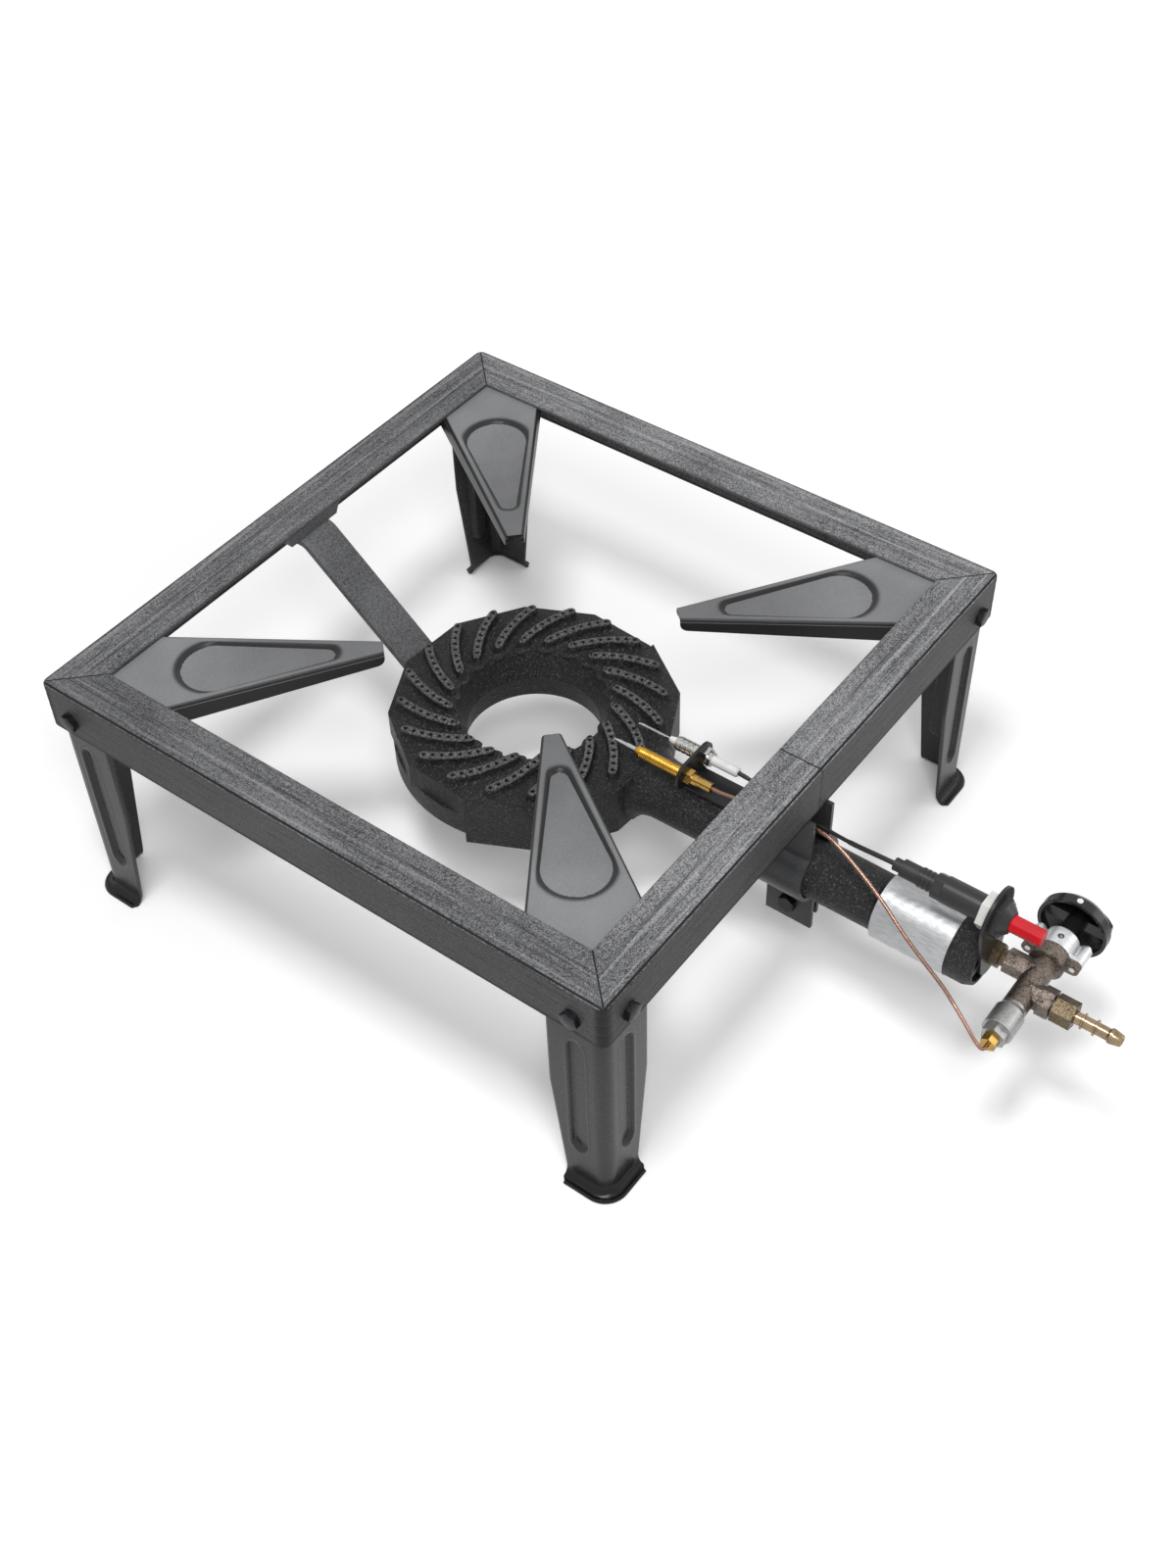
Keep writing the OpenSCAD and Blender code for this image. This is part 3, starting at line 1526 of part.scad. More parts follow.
// Zinc housing of the flame-failure magnet
module magnet_unit() {
    color("#b9bcbf")
    difference() {
        union() {
            tap_axis(-barrel_left - magnet_ring_l)
                cylinder(d = magnet_ring_d, h = magnet_ring_l);
            tap_axis(-barrel_left - magnet_ring_l - magnet_cone_l)
                cylinder(d1 = magnet_d, d2 = magnet_ring_d, h = magnet_cone_l);
            tap_axis(-barrel_left - magnet_l + magnet_hex_l)
                cylinder(d = magnet_d, h = magnet_l - magnet_hex_l - magnet_ring_l - magnet_cone_l);
            tap_axis(-barrel_left - magnet_l)
                hex(magnet_hex_af, magnet_hex_l);
        }
        tap_axis(-barrel_left - chamber_depth)
            cylinder(d = chamber_d, h = chamber_depth + cut);
    }
}

// Valve disc and pin that the pushed spindle drives against the magnet
module safety_plunger() {
    color("#8f7f5a") {
        tap_axis(disc_face)
            cylinder(d = pin_d, h = spindle_start - slack - disc_face);
        tap_axis(disc_face - disc_h)
            cylinder(d = disc_d, h = disc_h);
    }
}

// Spring that closes the flame-failure valve
module plunger_spring() {
    start = -barrel_left - chamber_depth + slack;
    color("#9a9da1")
    tap_axis(start)
        spring(plunger_spring_d, spring_wire, disc_face - disc_h - slack - start, spring_turns);
}

// Brass nut of the copper lead on the magnet unit
module lead_nut() {
    color("#c9a24a")
    tap_axis(-barrel_left - magnet_l - lead_nut_l)
        difference() {
            hex(lead_nut_af, lead_nut_l);
            translate([0, 0, -cut])
                cylinder(d = copper_d + 2 * fit, h = lead_nut_l / 2 + cut + fit);
        }
}

// Brass union nut over the inlet's thread
module union_nut() {
    color("#a58a4e")
    outward(inlet_x, tap_at + inlet_l + union_gap, tap_z)
        difference() {
            rotate([0, 0, 30])
                hex(union_af, union_l);
            translate([0, 0, -cut])
                cylinder(r = thread_r + fit, h = thread_l + seal_t + nozzle_head + cut);
            translate([0, 0, -cut])
                cylinder(d = stem_d + 2 * slack, h = union_l + 2 * cut);
        }
}

// Flat seal between the inlet's thread and the nozzle
module union_seal() {
    color("#2a2a2a")
    outward(inlet_x, tap_at + inlet_l + thread_l, tap_z)
        difference() {
            cylinder(r = thread_r - slack, h = seal_t);
            translate([0, 0, -cut])
                cylinder(r = gas_r, h = seal_t + 2 * cut);
        }
}

// Brass hose nozzle with two ridges and a tapered tip
module hose_nozzle() {
    seat = inlet_l + thread_l + seal_t;
    head = inlet_l + union_gap + thread_l + seal_t + nozzle_head - seat;
    tip = inlet_l + union_gap + union_l + nozzle_l - seat;
    color("#b79347")
    outward(inlet_x, tap_at + seat, tap_z)
        difference() {
            union() {
                cylinder(r = thread_r - slack, h = head);
                cylinder(d = stem_d, h = tip - tip_land);
                for (s = ridge_shares)
                    translate([0, 0, tip - nozzle_l * s])
                        cylinder(d = barb_d, h = barb_land);
                translate([0, 0, tip - tip_l])
                    cylinder(d = barb_d, h = tip_land);
                translate([0, 0, tip - tip_l + tip_land])
                    cylinder(d1 = barb_d, d2 = tip_d, h = tip_l - tip_land);
            }
            translate([0, 0, -cut])
                cylinder(d = nozzle_bore_d, h = tip + 2 * cut);
        }
}

// Part of a ball of the dome's curve, grown by g and cut to a cylinder
module dome(g) {
    rise = knob_depth - knob_skirt;
    r = (pow(knob_d / 2, 2) + pow(rise, 2)) / (2 * rise);
    intersection() {
        translate([0, 0, knob_depth - r])
            sphere(r + g);
        cylinder(r = knob_d / 2 + min(g, 0), h = knob_depth + grip_rise + cut);
    }
}

// Hollow knob with a skirt, a dome, a grip bar and a hub on the spindle
module knob() {
    color("#19191a")
    tap_axis(knob_x)
        difference() {
            union() {
                difference() {
                    dome(0);
                    translate([0, 0, -cut])
                        intersection() {
                            dome(-knob_t);
                            cylinder(r = knob_d / 2 - knob_t, h = knob_depth);
                        }
                    translate([0, 0, -cut])
                        cylinder(r = knob_d / 2 - knob_t, h = knob_skirt);
                }
                intersection() {
                    dome(grip_rise);
                    translate([-grip_w / 2, -knob_d / 2 + knob_t, knob_skirt])
                        cube([grip_w, knob_d - 2 * knob_t, knob_depth]);
                }
                translate([0, 0, hub_x - knob_x])
                    cylinder(d = knob_hub_d, h = knob_depth - knob_t - hub_x + knob_x);
            }
            difference() {
                translate([0, 0, hub_x - knob_x - cut])
                    cylinder(d = spindle_d + 2 * fit, h = spindle_end - hub_x + cut + fit);
                translate([-spindle_d * flat_share - spindle_d / 2 - fit, -spindle_d,
                    spindle_end - flat_l - knob_x + fit])
                    cube([spindle_d, 2 * spindle_d, flat_l]);
            }
        }
}

frame();
leg_at(0);  // leg_front_left
leg_at(1);  // leg_front_right
leg_at(2);  // leg_rear_right
leg_at(3);  // leg_rear_left
pan_arm_at(0);  // pan_arm_front_left
pan_arm_at(1);  // pan_arm_front_right
pan_arm_at(2);  // pan_arm_rear_right
pan_arm_at(3);  // pan_arm_rear_left
corner_bolts();
corner_nuts();
rear_bracket();
rear_strap();
strap_bolts();
strap_nut();
burner_casting();
clamp_left();
clamp_right();
clamp_bolt();
clamp_nut();
pilot_bracket();
pilot_screw();
thermocouple();
thermocouple_tip();
thermocouple_gland();
electrode_rod();
electrode_ceramic();
electrode_holder();
electrode_nut();
thermocouple_lead();
ignition_lead();
igniter_boot();
end_plate();
igniter_body();
igniter_nut();
igniter_button();
igniter_spring();
injector();
injector_nut();
tap_body();
tap_plug();
tap_spindle();
spindle_spring();
tap_bonnet();
bonnet_screws();
magnet_unit();
safety_plunger();
plunger_spring();
lead_nut();
union_nut();
hose_nozzle();
union_seal();
knob();
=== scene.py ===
"""Looks of the four-legged gas burner, piece by piece in the order in which it is put together.
Shapes are worked out in millimetres and put into their meshes in metres."""
import math
import bmesh
import bpy
import numpy as np
from mathutils import Matrix, Vector


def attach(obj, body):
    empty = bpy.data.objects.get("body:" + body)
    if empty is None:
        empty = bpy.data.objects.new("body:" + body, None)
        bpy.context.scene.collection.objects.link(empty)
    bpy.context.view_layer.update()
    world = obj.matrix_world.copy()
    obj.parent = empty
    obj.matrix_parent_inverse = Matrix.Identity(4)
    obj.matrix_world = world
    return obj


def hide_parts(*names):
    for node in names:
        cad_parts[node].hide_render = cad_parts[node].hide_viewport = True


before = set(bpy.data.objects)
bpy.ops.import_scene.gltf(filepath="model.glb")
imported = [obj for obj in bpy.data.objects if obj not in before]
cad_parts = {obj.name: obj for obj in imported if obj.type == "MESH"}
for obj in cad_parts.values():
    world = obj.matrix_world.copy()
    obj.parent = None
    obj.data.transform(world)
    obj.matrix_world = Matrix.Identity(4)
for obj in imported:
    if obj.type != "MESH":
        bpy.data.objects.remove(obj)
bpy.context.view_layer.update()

# ---------------------------------------------------------------- camera
# Stands where the photograph was taken. Direction, distance and lens are fitted to the frame, the
# legs and the ring, and the shift puts the lens axis where it met the picture.
MM = 0.001
VIEW_AZIMUTH, VIEW_HEIGHT, VIEW_ROLL = (math.radians(v) for v in (53.479, 47.445, -0.751))
VIEW_POINT, VIEW_DISTANCE = Vector((-88.375, -131.682, 190.511)), 1023.44
PICTURE_WIDE, PICTURE_HIGH = 1200, 1600
FOCAL_PIXELS, AXIS_X, AXIS_Y = 1979.0, 637.93, 815.78
SENSOR_HIGH = 24.0
ahead = Vector((math.sin(VIEW_AZIMUTH) * math.cos(VIEW_HEIGHT),
                math.cos(VIEW_AZIMUTH) * math.cos(VIEW_HEIGHT), -math.sin(VIEW_HEIGHT)))
level_right = Vector((math.cos(VIEW_AZIMUTH), -math.sin(VIEW_AZIMUTH), 0))
level_up = level_right.cross(ahead)
picture_right = level_right * math.cos(VIEW_ROLL) + level_up * math.sin(VIEW_ROLL)
picture_up = level_up * math.cos(VIEW_ROLL) - level_right * math.sin(VIEW_ROLL)
eye = VIEW_POINT - ahead * VIEW_DISTANCE
lens = bpy.data.cameras.new("camera")
lens.sensor_fit = "VERTICAL"
lens.sensor_height = SENSOR_HIGH
lens.lens = FOCAL_PIXELS * SENSOR_HIGH / PICTURE_HIGH
lens.shift_x = -(AXIS_X - PICTURE_WIDE / 2) / PICTURE_HIGH
lens.shift_y = (AXIS_Y - PICTURE_HIGH / 2) / PICTURE_HIGH
lens.clip_start = 0.05
camera = bpy.data.objects.new("camera", lens)
facing = Matrix((picture_right, picture_up, -ahead)).transposed().to_4x4()
camera.matrix_world = Matrix.Translation(eye * MM) @ facing
bpy.context.collection.objects.link(camera)
bpy.context.scene.camera = camera
bpy.context.scene.view_settings.view_transform = "Standard"


# ---------------------------------------------------------------- frame bar
# A square of 33 x 28 x 3 mm steel angle, mitred and welded at the corners and butted on the gas
# side. The mill leaves soft lines along both flanges. The grey-black enamel is stoved on.
FRAME_HALF, FRAME_TOP, FRAME_FOOT, FLANGE, BAR_CORNER = 200, 179, 146, 28, 5
TOP_LINES = ((17.4, 0.95, 0.42), (10.8, 0.9, 0.38), (22.5, 1.6, 0.12))        # inset, width, depth
SIDE_LINES = ((172.0, 0.9, 0.12), (164.2, 0.8, 0.10), (156.3, 0.9, 0.12))     # height, width, depth
FRAME_DARK, FRAME_LIGHT = (0.014, 0.0145, 0.016), (0.360, 0.363, 0.373)
# The joint black is also painted shade along the bar's lower edge.
JOINT_AND_SHADE_BLACK = (0.006, 0.006, 0.007)
SEAM, FINE_SKIN, COAT_GRAIN = 0.0004, 0.000012, 0.00016         # metres: half a mitre, depths of bump


class Wire:
    """One output of a node. The signs +, - and * add Math nodes, also after a plain number, and
    wire["name"] is another output of the same node."""

    def __init__(self, nodes, socket):
        self.nodes, self.socket = nodes, socket

    def __getitem__(self, name):
        return Wire(self.nodes, self.socket.node.outputs[name])

    def maths(self, operation, first, second=0.0):
        return self.nodes.node("Math", {0: first, 1: second}, operation=operation)

    def __add__(self, other):
        return self.maths("ADD", self, other)

    def __radd__(self, other):
        return self.maths("ADD", other, self)

    def __sub__(self, other):
        return self.maths("SUBTRACT", self, other)

    def __rsub__(self, other):
        return self.maths("SUBTRACT", other, self)

    def __mul__(self, other):
        return self.maths("MULTIPLY", self, other)

    def __rmul__(self, other):
        return self.maths("MULTIPLY", other, self)

    def abs(self):
        return self.maths("ABSOLUTE", self)

    def max(self, other):
        return self.maths("MAXIMUM", self, other)

    def step(self, start, end):
        """0 before start, 1 after end and smooth between. End may be the lower of the two."""
        low, high = min(start, end), max(start, end)
        rising = float(start < end)
        sockets = {"Value": self, "From Min": low, "From Max": high, "To Min": 1 - rising, "To Max": rising}
        return self.nodes.node("MapRange", sockets, interpolation_type="SMOOTHSTEP")

    def near(self, centre, far, close):
        """1 within close of the centre, 0 beyond far of it."""
        return (self - centre).abs().step(far, close)


class Nodes:
    """A node tree that grows by one method."""

    def __init__(self, tree):
        self.tree = tree

    def fill(self, socket, value):
        """Links a wire to the socket or sets its value. A colour of three gets an alpha of 1."""
        if isinstance(value, Wire):
            self.tree.links.new(value.socket, socket)
        else:
            socket.default_value = (*value, 1) if socket.type == "RGBA" else value

    def node(self, kind, sockets=None, out=0, **settings):
        """Adds a node of this kind: its settings first, then the values or links of its sockets."""
        new = self.tree.nodes.new("ShaderNode" + kind)
        for key, value in settings.items():
            setattr(new, key, value)
        for key, value in (sockets or {}).items():
            self.fill(new.inputs[key], value)
        return Wire(self, new.outputs[out]) if new.outputs else None


class Finish(Nodes):
    """A material with one Principled shader, its patterns on Object coordinates."""

    def __init__(self, name, rough, metallic=0.0, **fixed):
        self.material = bpy.data.materials.new(name)
        self.material.use_nodes = True
        super().__init__(self.material.node_tree)
        self.tree.nodes.clear()
        skin = self.node("BsdfPrincipled")
        self.node("OutputMaterial", {"Surface": skin})
        self.shader = skin.socket.node
        self.place = self.node("TexCoord")["Object"]
        parts = self.node("SeparateXYZ", {0: self.place})
        self.x, self.y, self.z = parts["X"], parts["Y"], parts["Z"]
        self.set(Roughness=rough, Metallic=metallic, **fixed)

    def set(self, **values):
        for key, value in values.items():
            self.fill(self.shader.inputs[key.replace("_", " ")], value)

    def stretch(self, x, y, z):
        """The place with each axis times its number, for a pattern that is drawn out."""
        return self.node("Mapping", {"Vector": self.place, "Scale": (x, y, z)})

    def noise(self, scale, detail, rough, place=None):
        return self.node("TexNoise", {"Vector": place or self.place, "Scale": scale, "Detail": detail,
                                      "Roughness": rough})

    def mix(self, first, second, share):
        """First colour x (1 - share) + second colour x share."""
        return self.node("Mix", {0: share, 6: first, 7: second}, out=2, data_type="RGBA")

    def bump(self, height, depth, strength, edge=0.0):
        """Bump of the height over a depth in metres, and edges that look rounded by edge mm."""
        sockets = {"Height": height, "Distance": depth, "Strength": strength}
        if edge:
            sockets["Normal"] = self.node("Bevel", {"Radius": edge * MM}, samples=4)
        self.set(Normal=self.node("Bump", sockets))


def times(colour, factor):
    """The colour with each part times the factor."""
    return tuple(c * factor for c in colour)


def stoved(name, dark, light, grain, gloss, specular=0.35):
    """Stoved enamel. Fine, middle and wide noise mix dark to light by grain x (0.7 fine +
    0.2 middle + 0.2 wide) + (1 - grain) x (0.35 + 0.35 wide)."""
    m = Finish(name, gloss, Specular_IOR_Level=specular)
    m.grain, m.gloss = grain, gloss
    m.fine, m.wide = m.noise(1500, 2, 0.6), m.noise(18, 3, 0.6)
    middle = m.noise(420, 3, 0.6)
    speckle = m.fine.step(0.42, 0.60) * 0.7 + middle.step(0.34, 0.66) * 0.2 + m.wide.step(0.3, 0.7) * 0.2
    mottle = m.wide.step(0.25, 0.75) * 0.35 + 0.35
    m.base = m.mix(dark, light, speckle * grain + mottle * (1 - grain))
    m.height = m.fine * 0.6 + middle
    return m


def cured(m, base=None, height=None, edge=0.6):
    """Closes a stoved coat. Roughness is gloss + 0.25 (fine - 0.5) + 0.1 (wide - 0.5). The bump is
    0.012 mm deep, and 0.16 mm more for a full grain."""
    m.set(Base_Color=base or m.base, Roughness=m.gloss + (m.fine - 0.5) * 0.25 + (m.wide - 0.5) * 0.1)
    m.bump(height or m.height, COAT_GRAIN * m.grain + FINE_SKIN, 0.8, edge)
    return m.material


def bar_coat():
    """The bar's enamel: drawn streaks along each bar; painted shade in the rolled lines and a painted
    highlight on the ridges between them; painted shade on the left and rear bars and towards the left; side
    faces darker as painted shade; black joints, a black line on the outer top edge and black rounded
    corners on the side faces; and the lower edge black as painted shade."""
    m = stoved("frame_coat", FRAME_DARK, FRAME_LIGHT, grain=1.0, gloss=0.50, specular=0.22)
    off_x, off_y = m.x.abs(), m.y.abs()
    side_bars = (off_x - off_y).step(-SEAM, SEAM)
    drawn_x = m.noise(70, 4, 0.6, m.stretch(0.30, 12.0, 12.0))
    drawn_y = m.noise(70, 4, 0.6, m.stretch(12.0, 0.30, 12.0))
    streak = drawn_x + side_bars * (drawn_y - drawn_x)
    base = m.mix(m.base, FRAME_DARK, streak.step(0.50, 0.36) * 0.42)
    base = m.mix(base, times(FRAME_LIGHT, 1.5), streak.step(0.60, 0.74) * 0.25)

    outer = off_x.max(off_y)
    inset = FRAME_HALF * MM - outer
    top = m.z.step(0.1784, 0.1788)
    # Painted shade darkens the rolled lines on the top face, and a painted highlight pales the ridges
    # between them.
    grooves = inset.near(0.0174, 0.0019, 0.0003) + inset.near(0.0108, 0.0016, 0.0003) * 0.8
    base = m.mix(base, FRAME_DARK, grooves * top * streak.step(0.62, 0.36) * 0.65)
    ridges = inset.near(0.0142, 0.0020, 0.0002) + inset.near(0.0045, 0.0025, 0.0003)
    base = m.mix(base, times(FRAME_LIGHT, 1.6), ridges * top * streak.step(0.40, 0.66) * 0.40)

    # Painted shade: the left and rear bars are darker, and the other bars grow darker towards the left.
    left = (m.x * -1 - off_y).step(-SEAM, SEAM)
    rear = (m.y - off_x).step(-SEAM, SEAM)
    painted_bar_shade = left * (0.34 + m.y.step(0.0, 0.2) * 0.18) + rear * 0.30
    base = m.mix(base, FRAME_DARK, painted_bar_shade + (m.x * -1).step(0.10, 0.2) * (1 - left - rear) * 0.22)

    # Painted shade: the side faces are darker than the top, and the outer face at y = -200 more so.
    side = m.z.step(0.1782, 0.1774)
    base = m.mix(base, times(FRAME_DARK, 0.45), side * (0.42 + m.y.step(-0.1988, -0.1994) * 0.22))
    mitre = (off_x - off_y).abs().step(0.00070, 0.00035) * top
    butt = off_x.step(0.00055, 0.00025) * m.y.step(-0.15, -0.151)
    lip = outer.near(0.1987, 0.00075, 0.00045) * m.z.step(0.1775, 0.178)
    # Painted shade: the lower edge of the bar is black.
    low = m.z.step(0.1490, 0.1480) * 0.95
    corner = (off_x + off_y).step(0.3918, 0.3958) * side
    joints = mitre.max(butt)
    base = m.mix(base, JOINT_AND_SHADE_BLACK, joints.max(lip).max(low).max(corner))
    return cured(m, base, m.height + streak * 1.5 - joints * 6.0)


def dress(finish, *names):
    """Gives CAD nodes their finish."""
    for name in names:
        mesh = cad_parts[name].data
        mesh.materials.clear()
        mesh.materials.append(finish)
        mesh.polygons.foreach_set("material_index", np.zeros(len(mesh.polygons), np.int32))


def grid(rows, close_u=False, close_v=False):
    """Points and faces of a rows x columns x 3 array. Each face takes point (i, j) and its next
    ones along the row and the column, wrapped round where that way is closed."""
    n, m = rows.shape[:2]
    i, j = np.indices((n if close_u else n - 1, m if close_v else m - 1))
    next_i, next_j = (i + 1) % n, (j + 1) % m
    faces = np.stack([i * m + j, i * m + next_j, next_i * m + next_j, next_i * m + j], -1)
    return rows.reshape(-1, 3), faces.reshape(-1, 4)


def turned(points, degrees):
    """The points turned round the upright axis: x cos - y sin, x sin + y cos, z."""
    c, s = math.cos(math.radians(degrees)), math.sin(math.radians(degrees))
    return points @ np.array([(c, s, 0), (-s, c, 0), (0, 0, 1)])


def dips(t, lines):
    """Depth at t of soft lines: the sum of depth x exp(-((t - centre) / width) squared)."""
    centre, width, depth = np.array(lines).T
    return (depth * np.exp(-((t[:, None] - centre) / width) ** 2)).sum(1)


def piece(name, surface, finish, sharp=40, sheet=0.0):
    """Object at the origin with the surface's points, in mm, and faces. Doubles are merged, sheet
    is the thickness of a wall in mm, and edges past the sharp angle in degrees stay hard."""
    mesh = bpy.data.meshes.new(name)
    points, faces = surface
    mesh.from_pydata(points, [], faces)
    work = bmesh.new()
    work.from_mesh(mesh)
    bmesh.ops.remove_doubles(work, verts=work.verts, dist=0.001)
    if sheet:
        bmesh.ops.solidify(work, geom=work.faces[:], thickness=sheet)
    bmesh.ops.recalc_face_normals(work, faces=work.faces)
    bmesh.ops.scale(work, vec=(MM, MM, MM), verts=work.verts)
    work.to_mesh(mesh)
    work.free()
    mesh.shade_smooth()
    mesh.set_sharp_from_angle(angle=math.radians(sharp))
    mesh.materials.append(finish)
    made = bpy.data.objects.new(name, mesh)
    bpy.context.collection.objects.link(made)
    return made


def bar_outline():
    """The angle's outline as (inset, height): toe, top flange less its dips, corner of radius 2,
    side flange with its dips, foot and inner fillet."""
    top = np.arange(FLANGE - 1, 2.2, -0.25)
    bend = np.radians(np.arange(0, 91, 15))
    side = np.arange(FRAME_TOP - 2.5, FRAME_FOOT + 1, -0.25)
    return np.concatenate([
        [(28, 176), (28, 178.5), (27.85, 178.85), (27.5, 179)],
        np.stack([top, FRAME_TOP - dips(top, TOP_LINES)], 1),
        np.stack([2 - 2 * np.sin(bend), FRAME_TOP - 2 + 2 * np.cos(bend)], 1),
        np.stack([dips(side, SIDE_LINES), side], 1),
        [(0, 146.7), (0.2, 146.2), (0.7, 146), (2.3, 146), (2.8, 146.2), (3, 146.7), (3, 173.6),
         (3.3, 175), (4.1, 175.8), (5.4, 176)]])


def bar_square():
    """The outline carried round the square: at each corner it turns by the angle w about a centre
    that is 5 mm in, so x = centre + r cos w and y = centre + r sin w."""
    inset, height = bar_outline().T
    r, centre = np.maximum(BAR_CORNER - inset, 0), FRAME_HALF - np.maximum(inset, BAR_CORNER)
    w = np.radians(np.linspace(0, 90, 9))[:, None]
    x, y, z = np.broadcast_arrays(centre + r * np.cos(w), centre + r * np.sin(w), height)
    corner = np.stack([x, y, z], -1)
    return grid(np.concatenate([turned(corner, 90 * k) for k in range(4)]), close_u=True, close_v=True)


frame_coat = bar_coat()
dress(frame_coat, "frame")
bar = piece("angle_frame", bar_square(), frame_coat, sharp=50)
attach(bar, "root")
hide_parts("frame")


# ---------------------------------------------------------------- pan arms
# Four channels of 1.8 mm sheet, pressed with a tear-drop, their edges folded down and their roots
# spread into the frame's corners. They are painted grey, and bolted with the legs.
ARM_SHEET, ARM_FOLD, ARM_TOP, TIP_REACH = 1.8, 2.6, 176, 87.0
TIP_HALF, ROOT_WIDTH, TIP_EDGE, ROOT_EDGE, TAB_EDGE = 5.8, 62, 9, 15, 26
CORNER_REACH, ROOT_REACH = 195 * math.sqrt(2), 172 * math.sqrt(2) - 31      # from the frame's middle
NOSE, MOAT_DEPTH, MOAT_WIDTH = 4.5, 0.42, 3.2
FLARE = (ROOT_WIDTH / 2 - TIP_HALF) / (ROOT_REACH - TIP_REACH)
WIDEST = (CORNER_REACH - TIP_HALF + FLARE * TIP_REACH) / (1 + FLARE)
DROP_SMALL, DROP_LARGE, DROP_DEPTH = (TIP_REACH + 33.05, 6.5), (TIP_REACH + 98.0, 20.5), 2.5
ARM_DARK, ARM_LIGHT = (0.140, 0.142, 0.147), (0.310, 0.314, 0.322)
CORNERS = ("front_left", "front_right", "rear_right", "rear_left")


def arm_coat():
    """The arms' paint, with painted shade: darker towards the tips by the distance from the middle squared,
    and black on the folded roll, the tear-drop's walls and the flanks under the roll, leaving a thin paler
    band at the height of the drop's floor as a painted highlight."""
    m = stoved("arm_paint", ARM_DARK, ARM_LIGHT, grain=0.30, gloss=0.32, specular=0.18)
    # Painted shade: darker towards the tips.
    base = m.mix(m.base, times(ARM_DARK, 0.2), (m.x * m.x + m.y * m.y).step(0.048, 0.012) * 0.35)
    # Painted shade: black on the fold's roll, the tear-drop's walls and the flanks, with a thin paler line
    # left between them as a painted highlight.
    roll = m.z.step(0.17595, 0.1756) * m.z.step(0.17362, 0.1739)
    flank = m.z.step(0.17335, 0.1730)
    return cured(m, m.mix(base, times(ARM_DARK, 0.09), roll.max(flank) * 0.92), edge=0.4)


def smooth(t, start, end):
    """3 s squared - 2 s cubed, s being the share of the way from start to end, held in 0 to 1."""
    s = np.clip((t - start) / (end - start), 0, 1)
    return s * s * (3 - 2 * s)


def drop_distance(x, y):
    """Distance to the outline of two circles and their outer tangents, negative inside. The
    tangents lean by b = (r1 - r2) / length, and each point is measured to the nearest part."""
    (x1, r1), (x2, r2) = DROP_SMALL, DROP_LARGE
    along, across, length = x - x1, np.abs(y), x2 - x1
    b = (r1 - r2) / length
    a = math.sqrt(1 - b * b)
    k = a * along - b * across
    return np.where(k < 0, np.hypot(along, across) - r1,
                    np.where(k > a * length, np.hypot(along - length, across) - r2,
                             a * across + b * along - r1))


def arm_shape(quarter):
    """Cross sections along the arm. Half width grows by the flare up to the widest place and then
    follows the frame's corner. The edge falls by h below a fold of a quarter circle, and the top
    sinks by the tear-drop's depth inside its outline, with a shallow moat round it."""
    x = np.concatenate([TIP_REACH + np.array([0, 0.4, 1.0, 1.8, 2.8, 4.0]),
                        np.linspace(TIP_REACH + 5.4, WIDEST - 8, 118), np.linspace(WIDEST - 7, WIDEST, 8),
                        np.linspace(WIDEST + 0.5, CORNER_REACH - 6, 34)])[:, None]
    w = np.where(x <= WIDEST, TIP_HALF + (x - TIP_REACH) * FLARE, CORNER_REACH - x)
    w = np.maximum(w, np.where(x > WIDEST, 6.0, TIP_HALF))
    h = TIP_EDGE + (ROOT_EDGE - TIP_EDGE) * np.minimum((x - TIP_REACH) / (WIDEST - TIP_REACH), 1)
    nose = np.maximum(0, 1 - (x - TIP_REACH) / NOSE)
    h = h - NOSE * (1 - np.sqrt(np.maximum(0, 1 - nose ** 2)))
    h = np.where(x > WIDEST + 2, TAB_EDGE, np.where(x > WIDEST - 7.5, ARM_FOLD + 0.4, h))
    fold = np.minimum(ARM_FOLD, w * 0.6)
    a = np.radians([15, 30, 45, 60, 75])
    edge_y = np.concatenate([w, w, w, w - fold + fold * np.cos(a)], 1)
    edge_z = np.concatenate([-h, -(h * 0.6 + fold * 0.4), -fold, -fold + fold * np.sin(a)], 1)
    y = (w - fold) * np.linspace(1, -1, 75)
    distance = drop_distance(x, y)
    sunk = -DROP_DEPTH * smooth(-distance, -0.5, 2.3)
    moat = MOAT_DEPTH * np.exp(-(np.clip(distance, 0, 30) / MOAT_WIDTH) ** 2)
    moat = moat * smooth(w - fold - np.abs(y), 0.0, 3.0)
    z = np.maximum(sunk - moat * (sunk > 0.01 - DROP_DEPTH), -DROP_DEPTH)
    y = np.concatenate([edge_y, y, -edge_y[:, ::-1]], 1)
    z = np.concatenate([edge_z, z, edge_z[:, ::-1]], 1)
    points, faces = grid(np.stack([x + 0 * y, y, z], -1))
    return turned(points, 225 + 90 * quarter) + [0, 0, ARM_TOP], faces


arm_paint = arm_coat()
for k, corner in enumerate(CORNERS):
    dress(arm_paint, "pan_arm_" + corner)
    arm = piece("pan_arm_" + corner, arm_shape(k), arm_paint, sharp=55, sheet=ARM_SHEET)
    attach(arm, "root")
    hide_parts("pan_arm_" + corner)


# ---------------------------------------------------------------- legs
# Four angles of 2 mm sheet, pressed with a flute in each face and tapering to a foot that is
# rolled outwards. They are stoved black, and two bolts hold each in its corner of the frame.
LEG_OUTER, LEG_SHEET, LEG_FOLD = 197, 2.0, 8
LEG_WIDTH, ANKLE_WIDTH, TAPER_TOP, TAPER_FOOT = 37.5, 28.5, 86, 5
FLUTE_AT, FLUTE_TOP, FLUTE_FOOT, FLUTE_DEPTH, FLUTE_BEAD = 19, 127, 38, 2.5, 0.15
SHOULDER, ROLL_TOP, ROLL_DROP, ROLL_OUT = 171.5, 9, 7, 4.6
